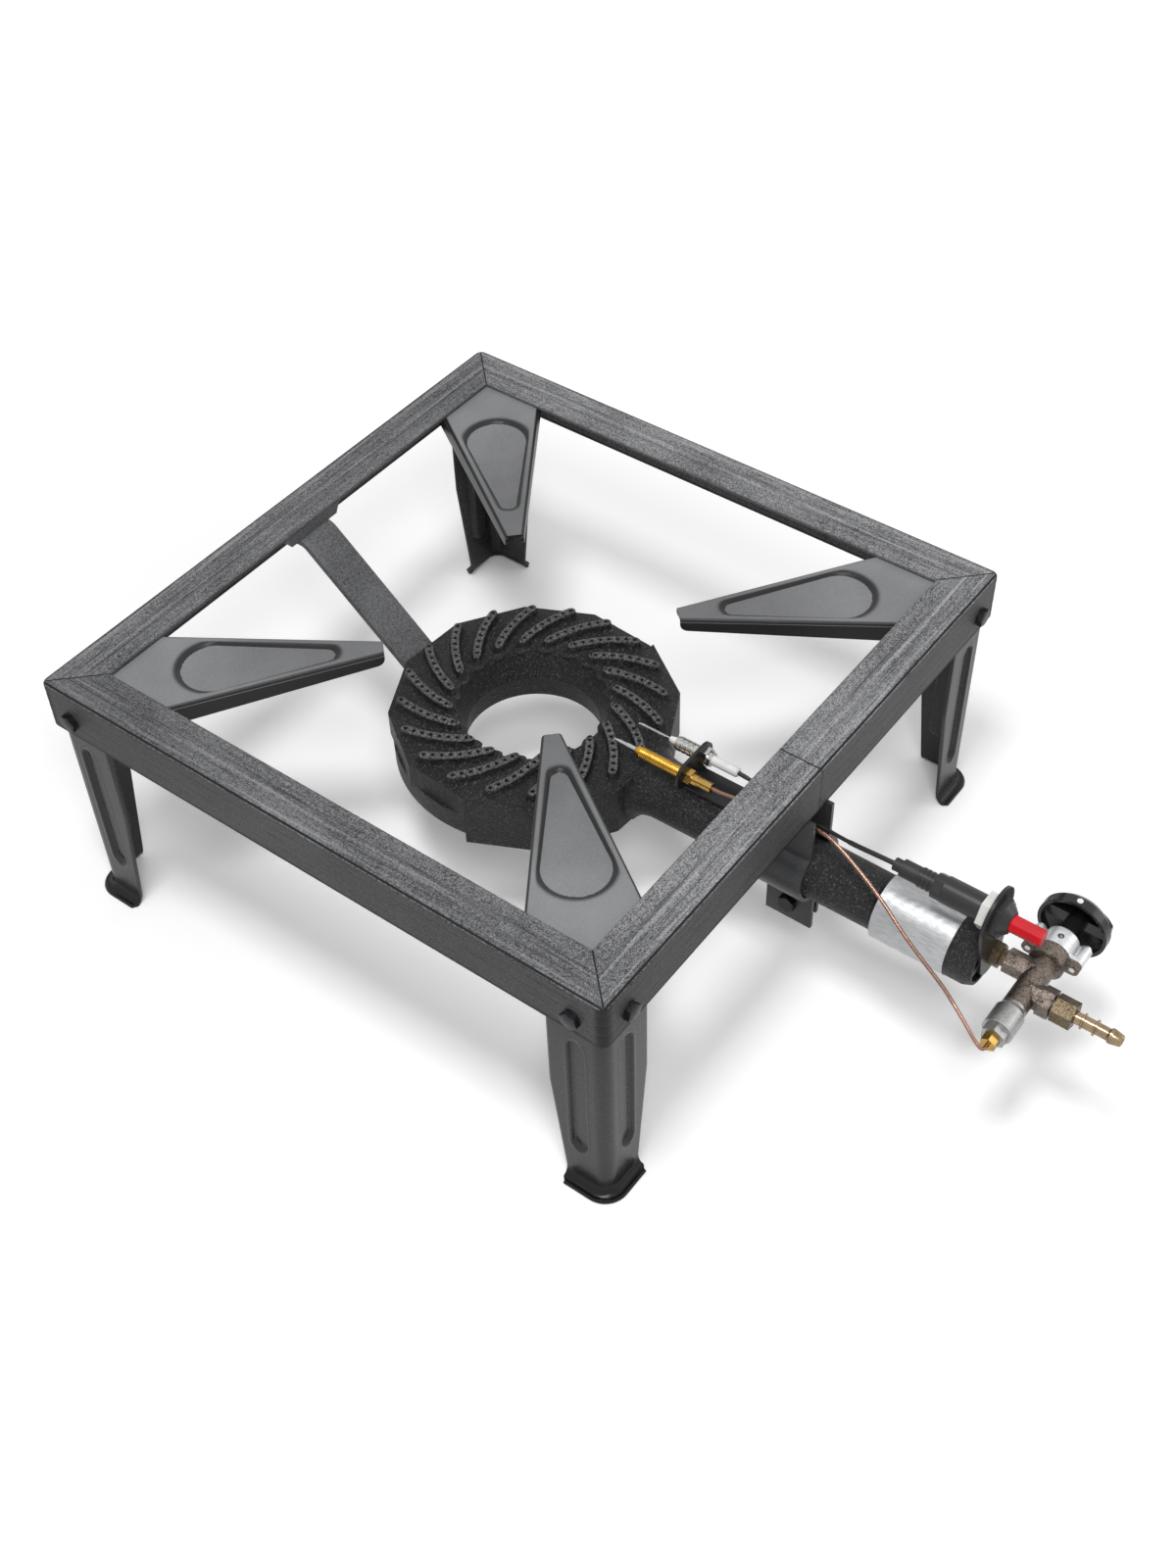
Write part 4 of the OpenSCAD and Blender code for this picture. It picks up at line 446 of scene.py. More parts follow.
# The foot black is also painted shade on the legs' tops under the frame.
LEG_DARK, LEG_LIGHT, FOOT_AND_SHADE_BLACK = (0.010, 0.0103, 0.0115), (0.050, 0.0515, 0.055), (0.004, 0.004, 0.0045)


def leg_enamel():
    """The legs' enamel: rubbed pale in upright patches, black at the foot, and black under the frame as
    painted shade where the flange shades the legs' tops.
    """
    m = stoved("leg_coat", LEG_DARK, LEG_LIGHT, grain=0.35, gloss=0.24, specular=0.28)
    rub = m.noise(30, 4, 0.7, m.stretch(1.0, 1.0, 0.4))
    base = m.mix(m.base, times(LEG_LIGHT, 1.6), rub.step(0.58, 0.8) * 0.4)
    foot = m.z.step(0.0086, 0.0066)
    # Black at the foot; painted shade makes the legs' tops under the frame black too.
    return cured(m, m.mix(base, FOOT_AND_SHADE_BLACK, foot.max(m.z.step(0.1415, 0.1450) * 0.9)), edge=0.5)


def leg_shape(quarter):
    """Cross sections from top to foot. Width w tapers with height and narrows above the shoulder;
    out is how far the foot has rolled, a quarter ellipse and a short lip. A flute sinks within
    5 mm of its middle line, inside a low bead, and the fold is an arc of radius 8 + out."""
    height = np.concatenate([np.linspace(175.5, SHOULDER, 5), np.linspace(169, 132, 20),
                             np.linspace(131, 33, 96), np.linspace(31, ROLL_TOP, 14)])
    a = np.radians(np.arange(10, 91, 10))
    z = np.concatenate([height, ROLL_TOP - ROLL_DROP * np.sin(a), [2, 2, 2.05, 2.25]])[:, None]
    out = np.concatenate([0 * height, ROLL_OUT * (1 - np.cos(a)), [4.9, 5.2, 5.6, 5.9]])[:, None]
    taper = (LEG_WIDTH - ANKLE_WIDTH) * np.maximum(z - TAPER_FOOT, 0) / (TAPER_TOP - TAPER_FOOT)
    w = np.where(z > TAPER_TOP, LEG_WIDTH, ANKLE_WIDTH + taper) - np.maximum(z - SHOULDER, 0)
    w = np.where(z < TAPER_FOOT, ANKLE_WIDTH - 2.2 * smooth(out, 3.4, 5.9) ** 2, w)
    u = w + (LEG_FOLD - w) * np.linspace(0, 1, 66)
    d = np.hypot(u - FLUTE_AT, np.maximum(np.maximum(FLUTE_FOOT - z, 0), z - FLUTE_TOP))
    dent = FLUTE_DEPTH * smooth(-d, -5.9, -4.2) - FLUTE_BEAD * np.exp(-(d - 6.4) ** 2)
    face = dent + 0.35 * smooth(u, w - 1.2, w) - out
    arc = np.radians(np.arange(9, 90, 9))
    x = np.concatenate([face, LEG_FOLD - (LEG_FOLD + out) * np.cos(arc), u[:, ::-1]], 1)
    y = np.concatenate([u, LEG_FOLD - (LEG_FOLD + out) * np.sin(arc), face[:, ::-1]], 1)
    points, faces = grid(np.stack([x, y, z + 0 * x], -1))
    return turned(points - [LEG_OUTER, LEG_OUTER, 0], 90 * quarter), faces


leg_coat = leg_enamel()
for k, corner in enumerate(CORNERS):
    dress(leg_coat, "leg_" + corner)
    leg = piece("leg_" + corner, leg_shape(k), leg_coat, sharp=60, sheet=-LEG_SHEET)
    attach(leg, "root")
    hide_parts("leg_" + corner)


# ---------------------------------------------------------------- corner fasteners
# Two M6 hexagon bolts at each corner, blackened, go through frame, leg and arm. Their plated nuts
# sit inside the corner.
BOLT_HEIGHT, BOLT_ALONG, NUT_FACE = 159.0, 179.5, 193.2
HEXAGON, HEAD, NUT, SHANK, SHANK_LENGTH, PITCH = 10, 4, 5, 5.9, 13, 1.0
WASHER_FACE = [(0.001, 0), (5.6, 0), (5.6, 0.7), (5.2, 0.9), (4.4, 0.9)]            # radius, height
CAST_SKIN = 0.00025                                                     # metres, depth of bump


def metal(name, tint, dark, rough, lustre=0.35, drawn=(1, 1, 1), cast=0.0, edge=0.25, stains=0.3):
    """Bare metal. Wide stains and fine specks mix tint to dark. Roughness is rough + lustre x
    (line - 0.5) + 0.12 stain. The bump is line x (1 - cast) + cast x (2 speck + stain)."""
    m = Finish(name, rough, 1.0)
    line = m.noise(900, 2, 0.5, m.stretch(*drawn))
    stain, speck = m.noise(160, 4, 0.6), m.noise(1300, 2, 0.6)
    worn = stain.step(0.42, 0.74) * (stains * (1 - 0.4 * cast))
    worn = worn + speck.step(0.46, 0.66) * (stains * (0.35 + 0.5 * cast))
    m.set(Base_Color=m.mix(tint, dark, worn),
          Roughness=rough + (line - 0.5) * lustre + stain.step(0.5, 0.8) * 0.12)
    height = line * (1 - cast) + speck * (2 * cast) + stain * cast
    m.bump(height, FINE_SKIN + CAST_SKIN * cast, 0.7, edge)
    return m.material


def axes(direction):
    """Two unit vectors u and v across the direction, and the direction w."""
    w = np.array(direction, float)
    w = w / np.linalg.norm(w)
    u = np.cross((0, 0, 1.0) if abs(w[2]) < 0.9 else (1.0, 0, 0), w)
    u = u / np.linalg.norm(u)
    return u, np.cross(w, u), w


def spokes(u, v, angles):
    """Unit vectors cos a u + sin a v."""
    return np.outer(np.cos(angles), u) + np.outer(np.sin(angles), v)


def lathe(origin, direction, profile, n=40):
    """Turned form: origin + r (cos a u + sin a v) + h w, over the profile's (r, h) and n angles."""
    u, v, w = axes(direction)
    r, h = np.array(profile, float).T[:, :, None, None]
    return grid(np.array(origin) + r * spokes(u, v, np.arange(n) * 2 * math.pi / n) + h * w, close_v=True)


def turns(starts, tooth):
    """A profile with one tooth's (r, h) points set again at each start height."""
    r, h = np.array(tooth).T
    return np.stack([np.tile(r, len(starts)), (starts[:, None] + h).ravel()], 1)


def thread(origin, direction, across, length, pitch):
    """Threaded shank: V turns 0.45 pitch deep, and an end with a chamfer of 0.6 mm."""
    crest, root = across / 2, across / 2 - pitch * 0.45
    tooth = [(crest, pitch * 0.12), (root, pitch * 0.5), (crest, pitch * 0.88)]
    profile = [[(0.001, 0.0), (crest, 0.0)], turns(np.arange(0, length - 1.2 * pitch, pitch), tooth),
               [(crest, length - 0.6), (crest - 0.6, length), (0.001, length)]]
    return lathe(origin, direction, np.concatenate(profile), 24)


def hexed(origin, direction, across, height, chamfer=(True, True), turn=0.0, bore=0.0):
    """Hexagon of radius across / 2 / cos(angle from the flat's middle). Where a face is turned,
    its rim drops from the corners by half of their reach past the round face."""
    u, v, w = axes(direction)
    t = np.arange(72) * 2 * math.pi / 72
    six = across / 2 / np.cos((t + math.pi / 6) % (math.pi / 3) - math.pi / 6)
    face, none = np.full(72, across / 2 * 0.94), np.zeros(72)
    lift, hole = (six - face) * 0.5, np.full(72, bore or 0.001)
    r = [hole, face if chamfer[0] else six, six, six, face if chamfer[1] else six, hole]
    h = [none, none, lift * chamfer[0], height - lift * chamfer[1], none + height, none + height]
    if bore:
        r, h = r + [hole], h + [none]
    r, h = np.array(r)[:, :, None], np.array(h)[:, :, None]
    return grid(np.array(origin) + r * spokes(u, v, t + turn) + h * w, close_v=True)


def joined(surfaces):
    """One surface of several, each one's faces counted on from the points before it."""
    starts = np.cumsum([0] + [len(points) for points, _ in surfaces])
    return (np.concatenate([points for points, _ in surfaces]),
            np.concatenate([faces + start for (_, faces), start in zip(surfaces, starts)]))


def at_corners(surfaces):
    """The surfaces and their mirror image across the diagonal, at all four corners."""
    return joined([(turned(points[:, order], 90 * k), faces) for k in range(4) for points, faces in surfaces
                   for order in ([0, 1, 2], [1, 0, 2])])


blackened_steel = metal("blackened_steel", tint=(0.045, 0.045, 0.048), dark=(0.012, 0.012, 0.012),
                        rough=0.34, cast=0.2)
plated_steel = metal("plated_steel", tint=(0.62, 0.62, 0.63), dark=(0.35, 0.35, 0.34), rough=0.28)
dress(blackened_steel, "corner_bolts")
dress(plated_steel, "corner_nuts")
head_at, shank_at = (FRAME_HALF, BOLT_ALONG, BOLT_HEIGHT), (FRAME_HALF - 1, BOLT_ALONG, BOLT_HEIGHT)
bolts = at_corners([hexed(head_at, (1, 0, 0), HEXAGON, HEAD, (False, True), turn=0.3),
                    lathe(head_at, (1, 0, 0), WASHER_FACE),
                    thread(shank_at, (-1, 0, 0), SHANK, SHANK_LENGTH, PITCH)])
bolts = piece("corner_bolt_set", bolts, blackened_steel, sharp=35)
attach(bolts, "root")
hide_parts("corner_bolts")
nut_at = (NUT_FACE, BOLT_ALONG, BOLT_HEIGHT)
nuts = at_corners([hexed(nut_at, (-1, 0, 0), HEXAGON, NUT, turn=0.5, bore=3.0)])
nuts = piece("corner_nut_set", nuts, plated_steel, sharp=35)
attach(nuts, "root")
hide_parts("corner_nuts")


# ---------------------------------------------------------------- rear bracket and strap
# A folded channel welded under the rear of the frame, and a bent flat bar from it down to the
# ring. Both wear the frame's enamel, thinner. A bolt holds each end of the bar.
strap_coat = cured(stoved("strap_coat", dark=(0.020, 0.0205, 0.022), light=(0.180, 0.182, 0.189),
                          grain=0.8, gloss=0.46, specular=0.3))
dress(strap_coat, "rear_bracket", "rear_strap")
dress(blackened_steel, "strap_bolts")
dress(plated_steel, "strap_nut")


# ---------------------------------------------------------------- burner casting
# Ring, swirl ribs and mixing tube in one grey-iron casting with a sandy skin. Each rib is drawn with a
# draft and a fillet, its top is paler and a little smoother, and its row of gas ports is drilled, holes and
# rims black as painted shade.
RING_Y, RIBS, FIRST_RIB, RIB_STEP, PORTS = 3, 20, 2, 18, 8
RIB_SWEEP, RIB_INNER, RIB_OUTER, RIB_CURVE, RIB_HALF = math.radians(23), 52.0, 79.5, 82.0, 2.4
RIB_TOP, INNER_NOSE, OUTER_NOSE = 120.5, 1.7, 1.25
FLANK = [(-0.5, 120.52), (-0.1, 120.45), (0.12, 120.1), (0.35, 118.6), (0.6, 116.4), (0.95, 115.2),
         (1.5, 114.5), (2.3, 114.15), (3.0, 113.98)]                    # out from the half width, height
SAND_DARK, SAND_LIGHT = (0.004, 0.004, 0.0045), (0.16, 0.162, 0.167)
RIB_TOP_DARK, RIB_TOP_LIGHT = (0.022, 0.0225, 0.0235), (0.27, 0.273, 0.28)


def sand_cast():
    """Cast skin: sand noise mixes dark to light, and the paler rib tops, by height and distance from the
    ring's axis, are mixed in at 0.9 and made a little smoother. The bump is 1.2 sand + 1.3 lumps."""
    m = Finish("cast_iron", 0.5, Specular_IOR_Level=0.32)
    sand, lumps, patch = m.noise(780, 3, 0.7), m.noise(260, 3, 0.6), m.noise(26, 3, 0.5)
    from_axis = m.x * m.x + (m.y - RING_Y * MM) * (m.y - RING_Y * MM)
    tops = m.z.step(0.1192, 0.1201) * from_axis.step(0.0083, 0.0079)
    skin = m.mix(SAND_DARK, SAND_LIGHT, sand.step(0.50, 0.74) * 0.8 + patch.step(0.35, 0.7) * 0.06)
    rib_top_tone = m.mix(RIB_TOP_DARK, RIB_TOP_LIGHT, sand.step(0.38, 0.68))
    m.set(Base_Color=m.mix(skin, rib_top_tone, tops * 0.9), Roughness=0.40 + (sand - 0.5) * 0.7 - tops * 0.03)
    m.bump(sand * 1.2 + lumps * 1.3, 0.0013, 0.85, 0.9)
    return m.material


def moulded(name, tint, rough, lustre=0.2, edge=0.3, **fixed):
    """Moulded plastic, rubber or glaze. Wide and fine noise mix the tint to 0.72 of it. Roughness
    is rough + lustre x (fine - 0.5) + 0.12 (wide - 0.5), over a bump of 0.04 mm."""
    m = Finish(name, rough, **fixed)
    fine, wide = m.noise(1200, 2, 0.5), m.noise(90, 3, 0.6)
    handled = wide.step(0.35, 0.75) * 0.6 + fine.step(0.5, 0.8) * 0.2
    m.set(Base_Color=m.mix(tint, times(tint, 0.72), handled),
          Roughness=rough + (fine - 0.5) * lustre + (wide - 0.5) * 0.12)
    m.bump(fine, 0.00004, 0.6, edge)
    return m.material


def rib_arc():
    """Centre, start angle and swept angle of the rib's centre line: the circle of the rib's curve
    through its inner end, at the sweep, and its outer end."""
    inner = RIB_INNER * np.array([math.cos(RIB_SWEEP), math.sin(RIB_SWEEP)])
    outer = np.array([RIB_OUTER, 0.0])
    chord = np.linalg.norm(outer - inner)
    t = (inner - outer) / chord
    middle = (inner + outer) / 2
    centre = middle + np.array([-t[1], t[0]]) * math.sqrt(RIB_CURVE ** 2 - (chord / 2) ** 2)
    return centre, math.atan2(*(outer - centre)[::-1]), 2 * math.asin(chord / 2 / RIB_CURVE)


def rib_flanks():
    """Round each rib, centre line + outward direction x (half width + flank + foundry waviness).
    The direction turns through a half ellipse at either end, its long axis the nose. The centre
    line runs from the rib's outer end to its inner end."""
    centre, start, swept = rib_arc()
    a = start + swept * np.linspace(0, 1, 25)
    normal = np.stack([np.cos(a), np.sin(a)], 1)
    line = centre + RIB_CURVE * normal
    along = normal[:, ::-1] * [-1, 1]
    q = np.linspace(0.3, math.pi - 0.3, 8)[:, None]
    inner_end = np.cos(q) * normal[-1] + INNER_NOSE * np.sin(q) * along[-1]
    outer_end = -np.cos(q) * normal[0] - OUTER_NOSE * np.sin(q) * along[0]
    at = np.concatenate([line, line[-1] + 0 * q, line[::-1], line[0] + 0 * q])[:, None]
    out = np.concatenate([normal, inner_end, -normal[::-1], outer_end])[:, None]
    reach, height = np.array(FLANK).T
    sunk = np.arange(len(reach)) > 1
    ribs = []
    for k in range(RIBS):
        wave = np.random.default_rng(40 + k).normal(0, 0.05, len(at))[:, None]
        flat = at + out * (RIB_HALF + reach + wave * sunk)[..., None]
        rows = np.concatenate([flat, np.broadcast_to(height[:, None], flat.shape[:2] + (1,))], -1)
        ribs.append(grid(turned(rows, FIRST_RIB + RIB_STEP * k) + [0, RING_Y, 0], close_u=True))
    return joined(ribs)


def port_rims():
    """A short lined hole with a raised rim at each of the eight even places along each rib. Lining and rim
    are black as painted shade in the hole.
    """
    centre, start, swept = rib_arc()
    a = start + swept * np.arange(PORTS) / (PORTS - 1)
    x, y = (centre + RIB_CURVE * np.stack([np.cos(a), np.sin(a)], 1)).T
    row = np.stack([x, y, 0 * x + RIB_TOP], 1)
    places = np.concatenate([turned(row, FIRST_RIB + RIB_STEP * k) + [0, RING_Y, 0] for k in range(RIBS)])
    rim = [(1.16, -3.5), (1.18, -0.25), (1.62, 0.045), (1.68, 0.0)]
    return joined([lathe(place, (0, 0, 1), rim, 20) for place in places])


cast_iron = sand_cast()
# Black lining and rims of the gas ports: painted shade in the holes.
port_shade_black = moulded("port_shade", (0.004, 0.004, 0.004), 0.6)
dress(cast_iron, "burner_casting")
flanks = piece("rib_flanks", rib_flanks(), cast_iron, sharp=60)
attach(flanks, "root")
rims = piece("port_rims", port_rims(), port_shade_black, sharp=60)
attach(rims, "root")


# ---------------------------------------------------------------- clamp
# Two pressed halves of black 2.5 mm sheet hang the mixing tube from the frame. A cross bolt
# draws their lower tabs together.
clamp_coat = cured(stoved("clamp_sheet", dark=(0.016, 0.0165, 0.018), light=(0.080, 0.082, 0.086),
                          grain=0.35, gloss=0.34))
dress(clamp_coat, "clamp_left", "clamp_right")
dress(blackened_steel, "clamp_bolt")
dress(plated_steel, "clamp_nut")


# ---------------------------------------------------------------- foil band
# Bare metal foil, glued once round the cast mixing chamber. It was rolled on by hand, so it waves
# a little, and its end is lapped over 0.12 mm high.
TUBE_AXIS_Z, CHAMBER, BAND_REAR, BAND_FRONT = 98.5, 20.0, -248.5, -295.5
LAP, LAP_FROM, FOIL_GAUGE = 0.12, 150, 0.08


def bare_foil():
    """Rolled sheen: noise drawn out along the tube and creases mix the tint to grey. The bump is
    1.5 crease + 0.4 roll."""
    m = Finish("bare_foil", 0.35, 0.75)
    roll, crease = m.noise(240, 3, 0.6, m.stretch(6.0, 0.6, 6.0)), m.noise(55, 5, 0.7)
    m.set(Base_Color=m.mix((0.56, 0.57, 0.58), (0.30, 0.305, 0.31),
                           roll.step(0.35, 0.7) * 0.5 + crease.step(0.5, 0.8) * 0.3),
          Roughness=0.30 + roll * 0.2)
    m.bump(crease * 1.5 + roll * 0.4, 0.0004, 0.5)
    return m.material


def band():
    """Radius 20 + the lap past 150 degrees + 0.05 sin(0.21 angle + y), over angles and y."""
    y = np.linspace(BAND_REAR, BAND_FRONT, 28)[:, None]
    angle = np.linspace(-172, 176, 140)
    r = CHAMBER + LAP * (angle > LAP_FROM) + 0.05 * np.sin(angle * 0.21 + y)
    w = np.radians(angle)
    return grid(np.stack([r * np.sin(w), y + 0 * r, TUBE_AXIS_Z + r * np.cos(w)], -1))


foil = piece("foil_band", band(), bare_foil(), sharp=60, sheet=FOIL_GAUGE)
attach(foil, "root")


# ---------------------------------------------------------------- end plate and injector
# An egg-shaped black plate across the chamber's mouth. The injector goes through it into the hub
# and its lock nut holds it, both of old, brown brass.
black_plate = cured(stoved("black_plate", dark=(0.006, 0.006, 0.0065), light=(0.024, 0.024, 0.026),
                           grain=0.3, gloss=0.33), edge=0.3)
old_brass = metal("old_brass", tint=(0.165, 0.127, 0.080), dark=(0.030, 0.022, 0.014),
                  rough=0.38, cast=0.9, stains=0.9)
dress(black_plate, "end_plate")
dress(old_brass, "injector", "injector_nut")


# ---------------------------------------------------------------- igniter
# A black moulded push-button igniter with a white nut behind the plate, a red button on a steel
# spring, and a rubber boot over the end of its lead.
igniter_black = moulded("igniter_black", (0.014, 0.014, 0.015), 0.34)
nut_white = moulded("nut_white", (0.80, 0.79, 0.75), 0.45)
button_red = moulded("button_red", (0.68, 0.010, 0.020), 0.30, Specular_IOR_Level=0.15)
rubber = moulded("rubber", (0.016, 0.016, 0.017), 0.48)
spring_steel = metal("spring_steel", tint=(0.60, 0.60, 0.62), dark=(0.3, 0.3, 0.3), rough=0.3)
dress(igniter_black, "igniter_body")
dress(nut_white, "igniter_nut")
dress(button_red, "igniter_button")
dress(rubber, "igniter_boot")
dress(spring_steel, "igniter_spring")


# ---------------------------------------------------------------- tap
# A cast bronze body with a brass taper plug, a zinc bonnet on two screws, and the magnet unit of
# the flame-failure valve on its far end. The spindle, springs and plunger are inside.
bronze = metal("bronze", tint=(0.225, 0.185, 0.158), dark=(0.026, 0.023, 0.020),
               rough=0.42, cast=1.0, edge=0.7, stains=0.9)
zinc = metal("zinc", tint=(0.74, 0.755, 0.765), dark=(0.42, 0.43, 0.44),
             rough=0.38, cast=0.35, edge=0.5, stains=0.5)
zinc_dull = metal("zinc_dull", tint=(0.42, 0.42, 0.415), dark=(0.16, 0.16, 0.16),
                  rough=0.40, drawn=(0.3, 8, 8), cast=0.55, edge=0.5, stains=0.6)
brass = metal("brass", tint=(0.50, 0.32, 0.09), dark=(0.22, 0.13, 0.04),
              rough=0.22, drawn=(1, 3, 1), stains=0.55)
dress(bronze, "tap_body")
dress(zinc, "tap_bonnet")
dress(zinc_dull, "magnet_unit")
dress(brass, "tap_plug", "safety_plunger", "lead_nut")
dress(plated_steel, "tap_spindle", "bonnet_screws")
dress(spring_steel, "spindle_spring", "plunger_spring")


# ---------------------------------------------------------------- hose nozzle and union nut
# A bright turned nozzle with two hose ridges and a bored tip. A dull union nut and a rubber seal
# hold it on the tap's inlet.
NOZZLE_FACE = (-8.5, -358, 98.5)
NOZZLE = [(2.2, 0), (5.2, 0), (5.2, 1.2), (3.65, 2.4), (3.65, 16.6), (4.85, 17.0), (4.85, 17.9),
          (3.65, 18.1), (3.65, 24.0), (4.85, 24.4), (4.85, 25.3), (3.6, 25.5), (3.55, 32.2), (4.5, 33.2),
          (4.5, 34.6), (3.4, 39.9), (3.1, 40.3), (2.2, 40.3), (2.0, 38.0), (2.0, 1.0)]  # radius, distance
bright_brass = metal("bright_brass", tint=(0.36, 0.265, 0.165), dark=(0.10, 0.065, 0.038),
                     rough=0.20, lustre=0.15, stains=0.6)
dress(old_brass, "union_nut")
dress(rubber, "union_seal")
dress(brass, "hose_nozzle")
nozzle = piece("turned_nozzle", lathe(NOZZLE_FACE, (0, -1, 0), NOZZLE, 64), bright_brass, sharp=35)
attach(nozzle, "root")
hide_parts("hose_nozzle")


# ---------------------------------------------------------------- knob
# A black moulded knob with a grip bar, pushed on the flat of the spindle. A white dot of paint on
# its rim stands uppermost when the tap is off.
TAP_AXIS_Y, RIM, RIM_BACK, RIM_FACE, DOT_HALF, DOT_POINTS = -341, 21.06, 46.2, 49.8, 1.8, 24


def rim_dot():
    """An oval laid on the rim: x over the rim's width by cos a, and round the rim by the angle
    half width x sin a / radius, as a fan of triangles about its middle."""
    a = np.arange(DOT_POINTS) * 2 * math.pi / DOT_POINTS
    x = (RIM_BACK + RIM_FACE) / 2 + (RIM_FACE - RIM_BACK) / 2 * np.cos(a)
    t = DOT_HALF * np.sin(a) / RIM
    ring = np.stack([x, TAP_AXIS_Y + RIM * np.sin(t), TUBE_AXIS_Z + RIM * np.cos(t)], 1)
    middle = [((RIM_BACK + RIM_FACE) / 2, TAP_AXIS_Y, TUBE_AXIS_Z + RIM)]
    k = np.arange(DOT_POINTS)
    return np.concatenate([middle, ring]), np.stack([0 * k, 1 + k, 1 + (k + 1) % DOT_POINTS], 1)


knob_black = moulded("knob_black", (0.012, 0.012, 0.013), 0.28, Coat_Weight=0.15, Specular_IOR_Level=0.35)
dot_white = moulded("dot_white", (0.85, 0.85, 0.83), 0.4)
dress(knob_black, "knob")
dot = piece("knob_dot", rim_dot(), dot_white, sharp=60)
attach(dot, "control_knob")


# ---------------------------------------------------------------- pilot sensors
# A bent black plate, screwed to the tube, holds the thermocouple and the spark electrode by their
# nuts. The thermocouple's brass body has a fine rolled thread; the electrode is white ceramic.
SENSOR_Z, THERMOCOUPLE_X, SLEEVE_Y, CREST, GROOVE, ROLLED_PITCH = 130, -8, -81, 3.52, 3.34, 1.25
rolled = np.concatenate([
    [(0.8, -0.08), (2.3, -0.08), (2.8, 0.3), (3.36, 1.4), (3.40, 3.2)],
    turns(np.arange(3.4, 31.0, ROLLED_PITCH), [(CREST, 0), (CREST, 0.5), (GROOVE, 0.75), (GROOVE, 1.0)]),
    [(CREST, 32.0), (CREST, 32.9), (0.8, 32.9)]])                                   # radius, distance
gold_brass = metal("gold_brass", tint=(0.66, 0.36, 0.055), dark=(0.26, 0.12, 0.02),
                   rough=0.24, edge=0.05, stains=0.4)
nickel = metal("nickel", tint=(0.52, 0.515, 0.505), dark=(0.16, 0.16, 0.155), rough=0.14, stains=0.25)
ceramic = moulded("ceramic", (0.86, 0.86, 0.84), 0.18, lustre=0.05, Coat_Weight=0.5)
dress(black_plate, "pilot_bracket")
dress(plated_steel, "pilot_screw")
dress(brass, "thermocouple", "thermocouple_gland")
dress(nickel, "thermocouple_tip", "electrode_rod", "electrode_holder", "electrode_nut")
dress(ceramic, "electrode_ceramic")
sleeve = lathe((THERMOCOUPLE_X, SLEEVE_Y, SENSOR_Z), (0, -1, 0), rolled)
sleeve = piece("rolled_thread", sleeve, gold_brass, sharp=50)
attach(sleeve, "root")


# ---------------------------------------------------------------- leads
# A bare copper lead from the thermocouple's gland round to the magnet unit, and the igniter's
# black covered lead, thicker where its boot and its sleeve cover it.
COPPER_PATH = [(-8, -134, 130), (-8, -142, 130.4), (-7.2, -160, 133), (-6.4, -182, 136.5),
               (-6.2, -202, 138.5), (-8, -216, 137), (-13, -235.5, 131), (-20, -254.6, 125.6),
               (-29, -274.5, 119.6), (-36.5, -291.5, 116.4), (-43, -306.5, 114), (-49.5, -319, 111.5),
               (-53.6, -329, 106.2), (-55.8, -335.5, 101.6), (-56.4, -339.6, 99.3), (-54.2, -341, 98.5),
               (-49.25, -341, 98.5)]
SPARK_PATH = [(0, -253, 135), (0.2, -244, 134.4), (2, -222, 131), (4.2, -204, 129), (5.5, -186, 128.4),
              (8, -166, 128.6), (10.4, -150, 129.6), (11, -140, 130)]
COPPER_RADIUS, COVER_RADIUS = 1.1, 1.2


def cord(path, radius, steps, n=18):
    """Round cord along a smooth curve through the path's points: on each stretch from b to c, half of
    2b + (c - a) s + (2a - 5b + 4c - d) s squared + (3b - a - 3c + d) s cubed. Its circle is
    carried along the curve without twist, and radius is a function of the share of the way."""
    p = np.array(path, float)
    padded = np.concatenate([p[:1], p, p[-1:]])
    a, b, c, d = (padded[i:len(p) - 1 + i, None] for i in range(4))
    s = (np.arange(steps) / steps)[:, None]
    square, cube = 2 * a - 5 * b + 4 * c - d, 3 * b - a - 3 * c + d
    curve = (2 * b + (c - a) * s + square * s ** 2 + cube * s ** 3) / 2
    line = np.concatenate([curve.reshape(-1, 3), p[-1:]])
    ahead = np.gradient(line, axis=0)
    ahead /= np.linalg.norm(ahead, axis=1)[:, None]
    u, sides = axes(ahead[0])[0], []
    for w in ahead:
        u = u - w * (u @ w)
        u = u / np.linalg.norm(u)
        sides.append(u)
    u = np.array(sides)[:, None]
    v = np.cross(ahead[:, None], u)
    t = (np.arange(n) * 2 * math.pi / n)[:, None]
    r = radius(np.linspace(0, 1, len(line)))[:, None, None]
    rings = line[:, None] + r * (np.cos(t) * u + np.sin(t) * v)
    first, last = (np.broadcast_to(line[i], (1, n, 3)) for i in (0, -1))
    return grid(np.concatenate([first, rings, last]), close_v=True)


copper = metal("copper", tint=(0.34, 0.195, 0.150), dark=(0.13, 0.070, 0.053), rough=0.28, stains=0.5)
lead_cover = moulded("lead_cover", (0.020, 0.020, 0.021), 0.42)
dress(copper, "thermocouple_lead")
dress(lead_cover, "ignition_lead")
copper_lead = cord(COPPER_PATH, lambda s: COPPER_RADIUS + 0 * s, steps=10)
copper_lead = piece("copper_lead", copper_lead, copper, sharp=60)
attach(copper_lead, "root")
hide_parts("thermocouple_lead")
spark_lead = cord(SPARK_PATH, lambda s: COVER_RADIUS + 0.25 * (s < 0.30) + 0.15 * (s > 0.9), steps=12)
spark_lead = piece("spark_lead", spark_lead, lead_cover, sharp=50)
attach(spark_lead, "root")
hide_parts("ignition_lead")


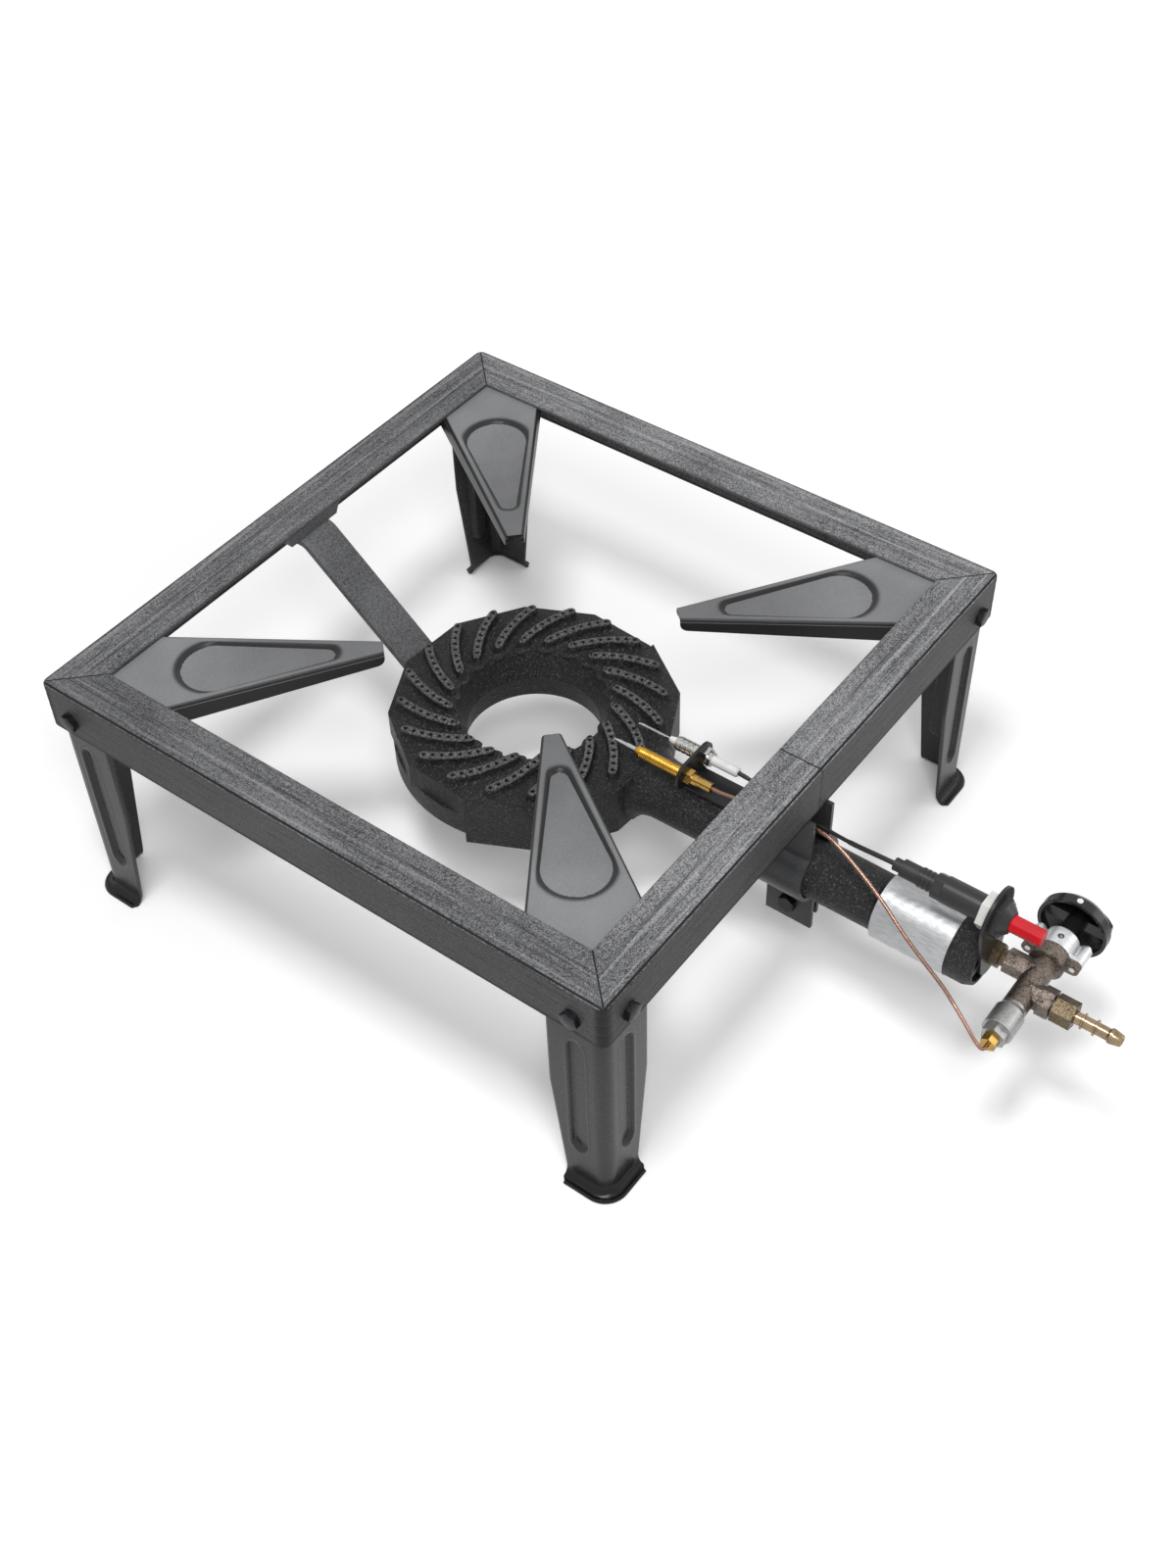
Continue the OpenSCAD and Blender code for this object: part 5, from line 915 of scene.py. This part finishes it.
# ---------------------------------------------------------------- stage
# White floor and white surroundings, and three soft lamps at a plain level. What the camera sees
# of them is white; the light that they send on the burner stays grey, so that its tones hold.
FLOOR_GREY, SKY_LOW, SKY_HIGH = 0.42, 0.26, 0.48
GLOW_NEAR, GLOW_FAR = (0.34, 0.12), (0.85, 0.60)                # metres from the middle, emission
bpy.ops.mesh.primitive_plane_add(size=12, location=(0, 0, -0.0004))
floor = bpy.context.object
floor.name = "floor"
paper = Finish("floor", 0.9, Specular_IOR_Level=0.0, Emission_Strength=1.0)
ray = paper.node("LightPath")
seen = ray["Is Camera Ray"].max(ray["Is Glossy Ray"])
away = paper.node("VectorMath", {0: paper.place}, out="Value", operation="LENGTH")
glow = away.step(GLOW_NEAR[0], GLOW_FAR[0]) * (GLOW_FAR[1] - GLOW_NEAR[1]) + GLOW_NEAR[1]
paper.set(Base_Color=paper.mix((FLOOR_GREY, FLOOR_GREY, FLOOR_GREY), (1.0, 1.0, 1.0), seen),
          Emission_Color=ray["Is Camera Ray"] * glow)
floor.data.materials.append(paper.material)

world = bpy.data.worlds.new("studio")
bpy.context.scene.world = world
world.use_nodes = True
studio = Nodes(world.node_tree)
ray = studio.node("LightPath")
seen = ray["Is Camera Ray"].max(ray["Is Transmission Ray"]).max(ray["Is Glossy Ray"])
height = studio.node("SeparateXYZ", {0: studio.node("TexCoord")["Generated"]})["Z"]
sky = studio.node("MapRange", {"Value": height, "From Min": 0.0, "From Max": 0.9, "To Min": SKY_LOW,
                               "To Max": SKY_HIGH})
background = world.node_tree.nodes["Background"]
studio.fill(background.inputs["Color"], (1, 1, 1))
studio.fill(background.inputs["Strength"], studio.node("Mix", {0: seen, 2: sky, 3: 1.0}))


def lamp(name, place, aim, size, power):
    """A square area lamp at the place, in metres, that faces the aim."""
    light = bpy.data.lights.new(name, "AREA")
    light.size, light.energy = size, power
    stand = bpy.data.objects.new(name, light)
    stand.location = place
    stand.rotation_euler = (Vector(aim) - Vector(place)).to_track_quat("-Z", "Y").to_euler()
    bpy.context.collection.objects.link(stand)


lamp("key", (-0.60, -0.22, 2.25), aim=(0, -0.05, 0.1), size=0.42, power=20)
lamp("side", (-0.80, -0.80, 1.6), aim=(0, 0, 0.1), size=0.40, power=8.5)
lamp("rim", (1.1, -1.5, 0.8), aim=(0, 0, 0.1), size=0.9, power=4)
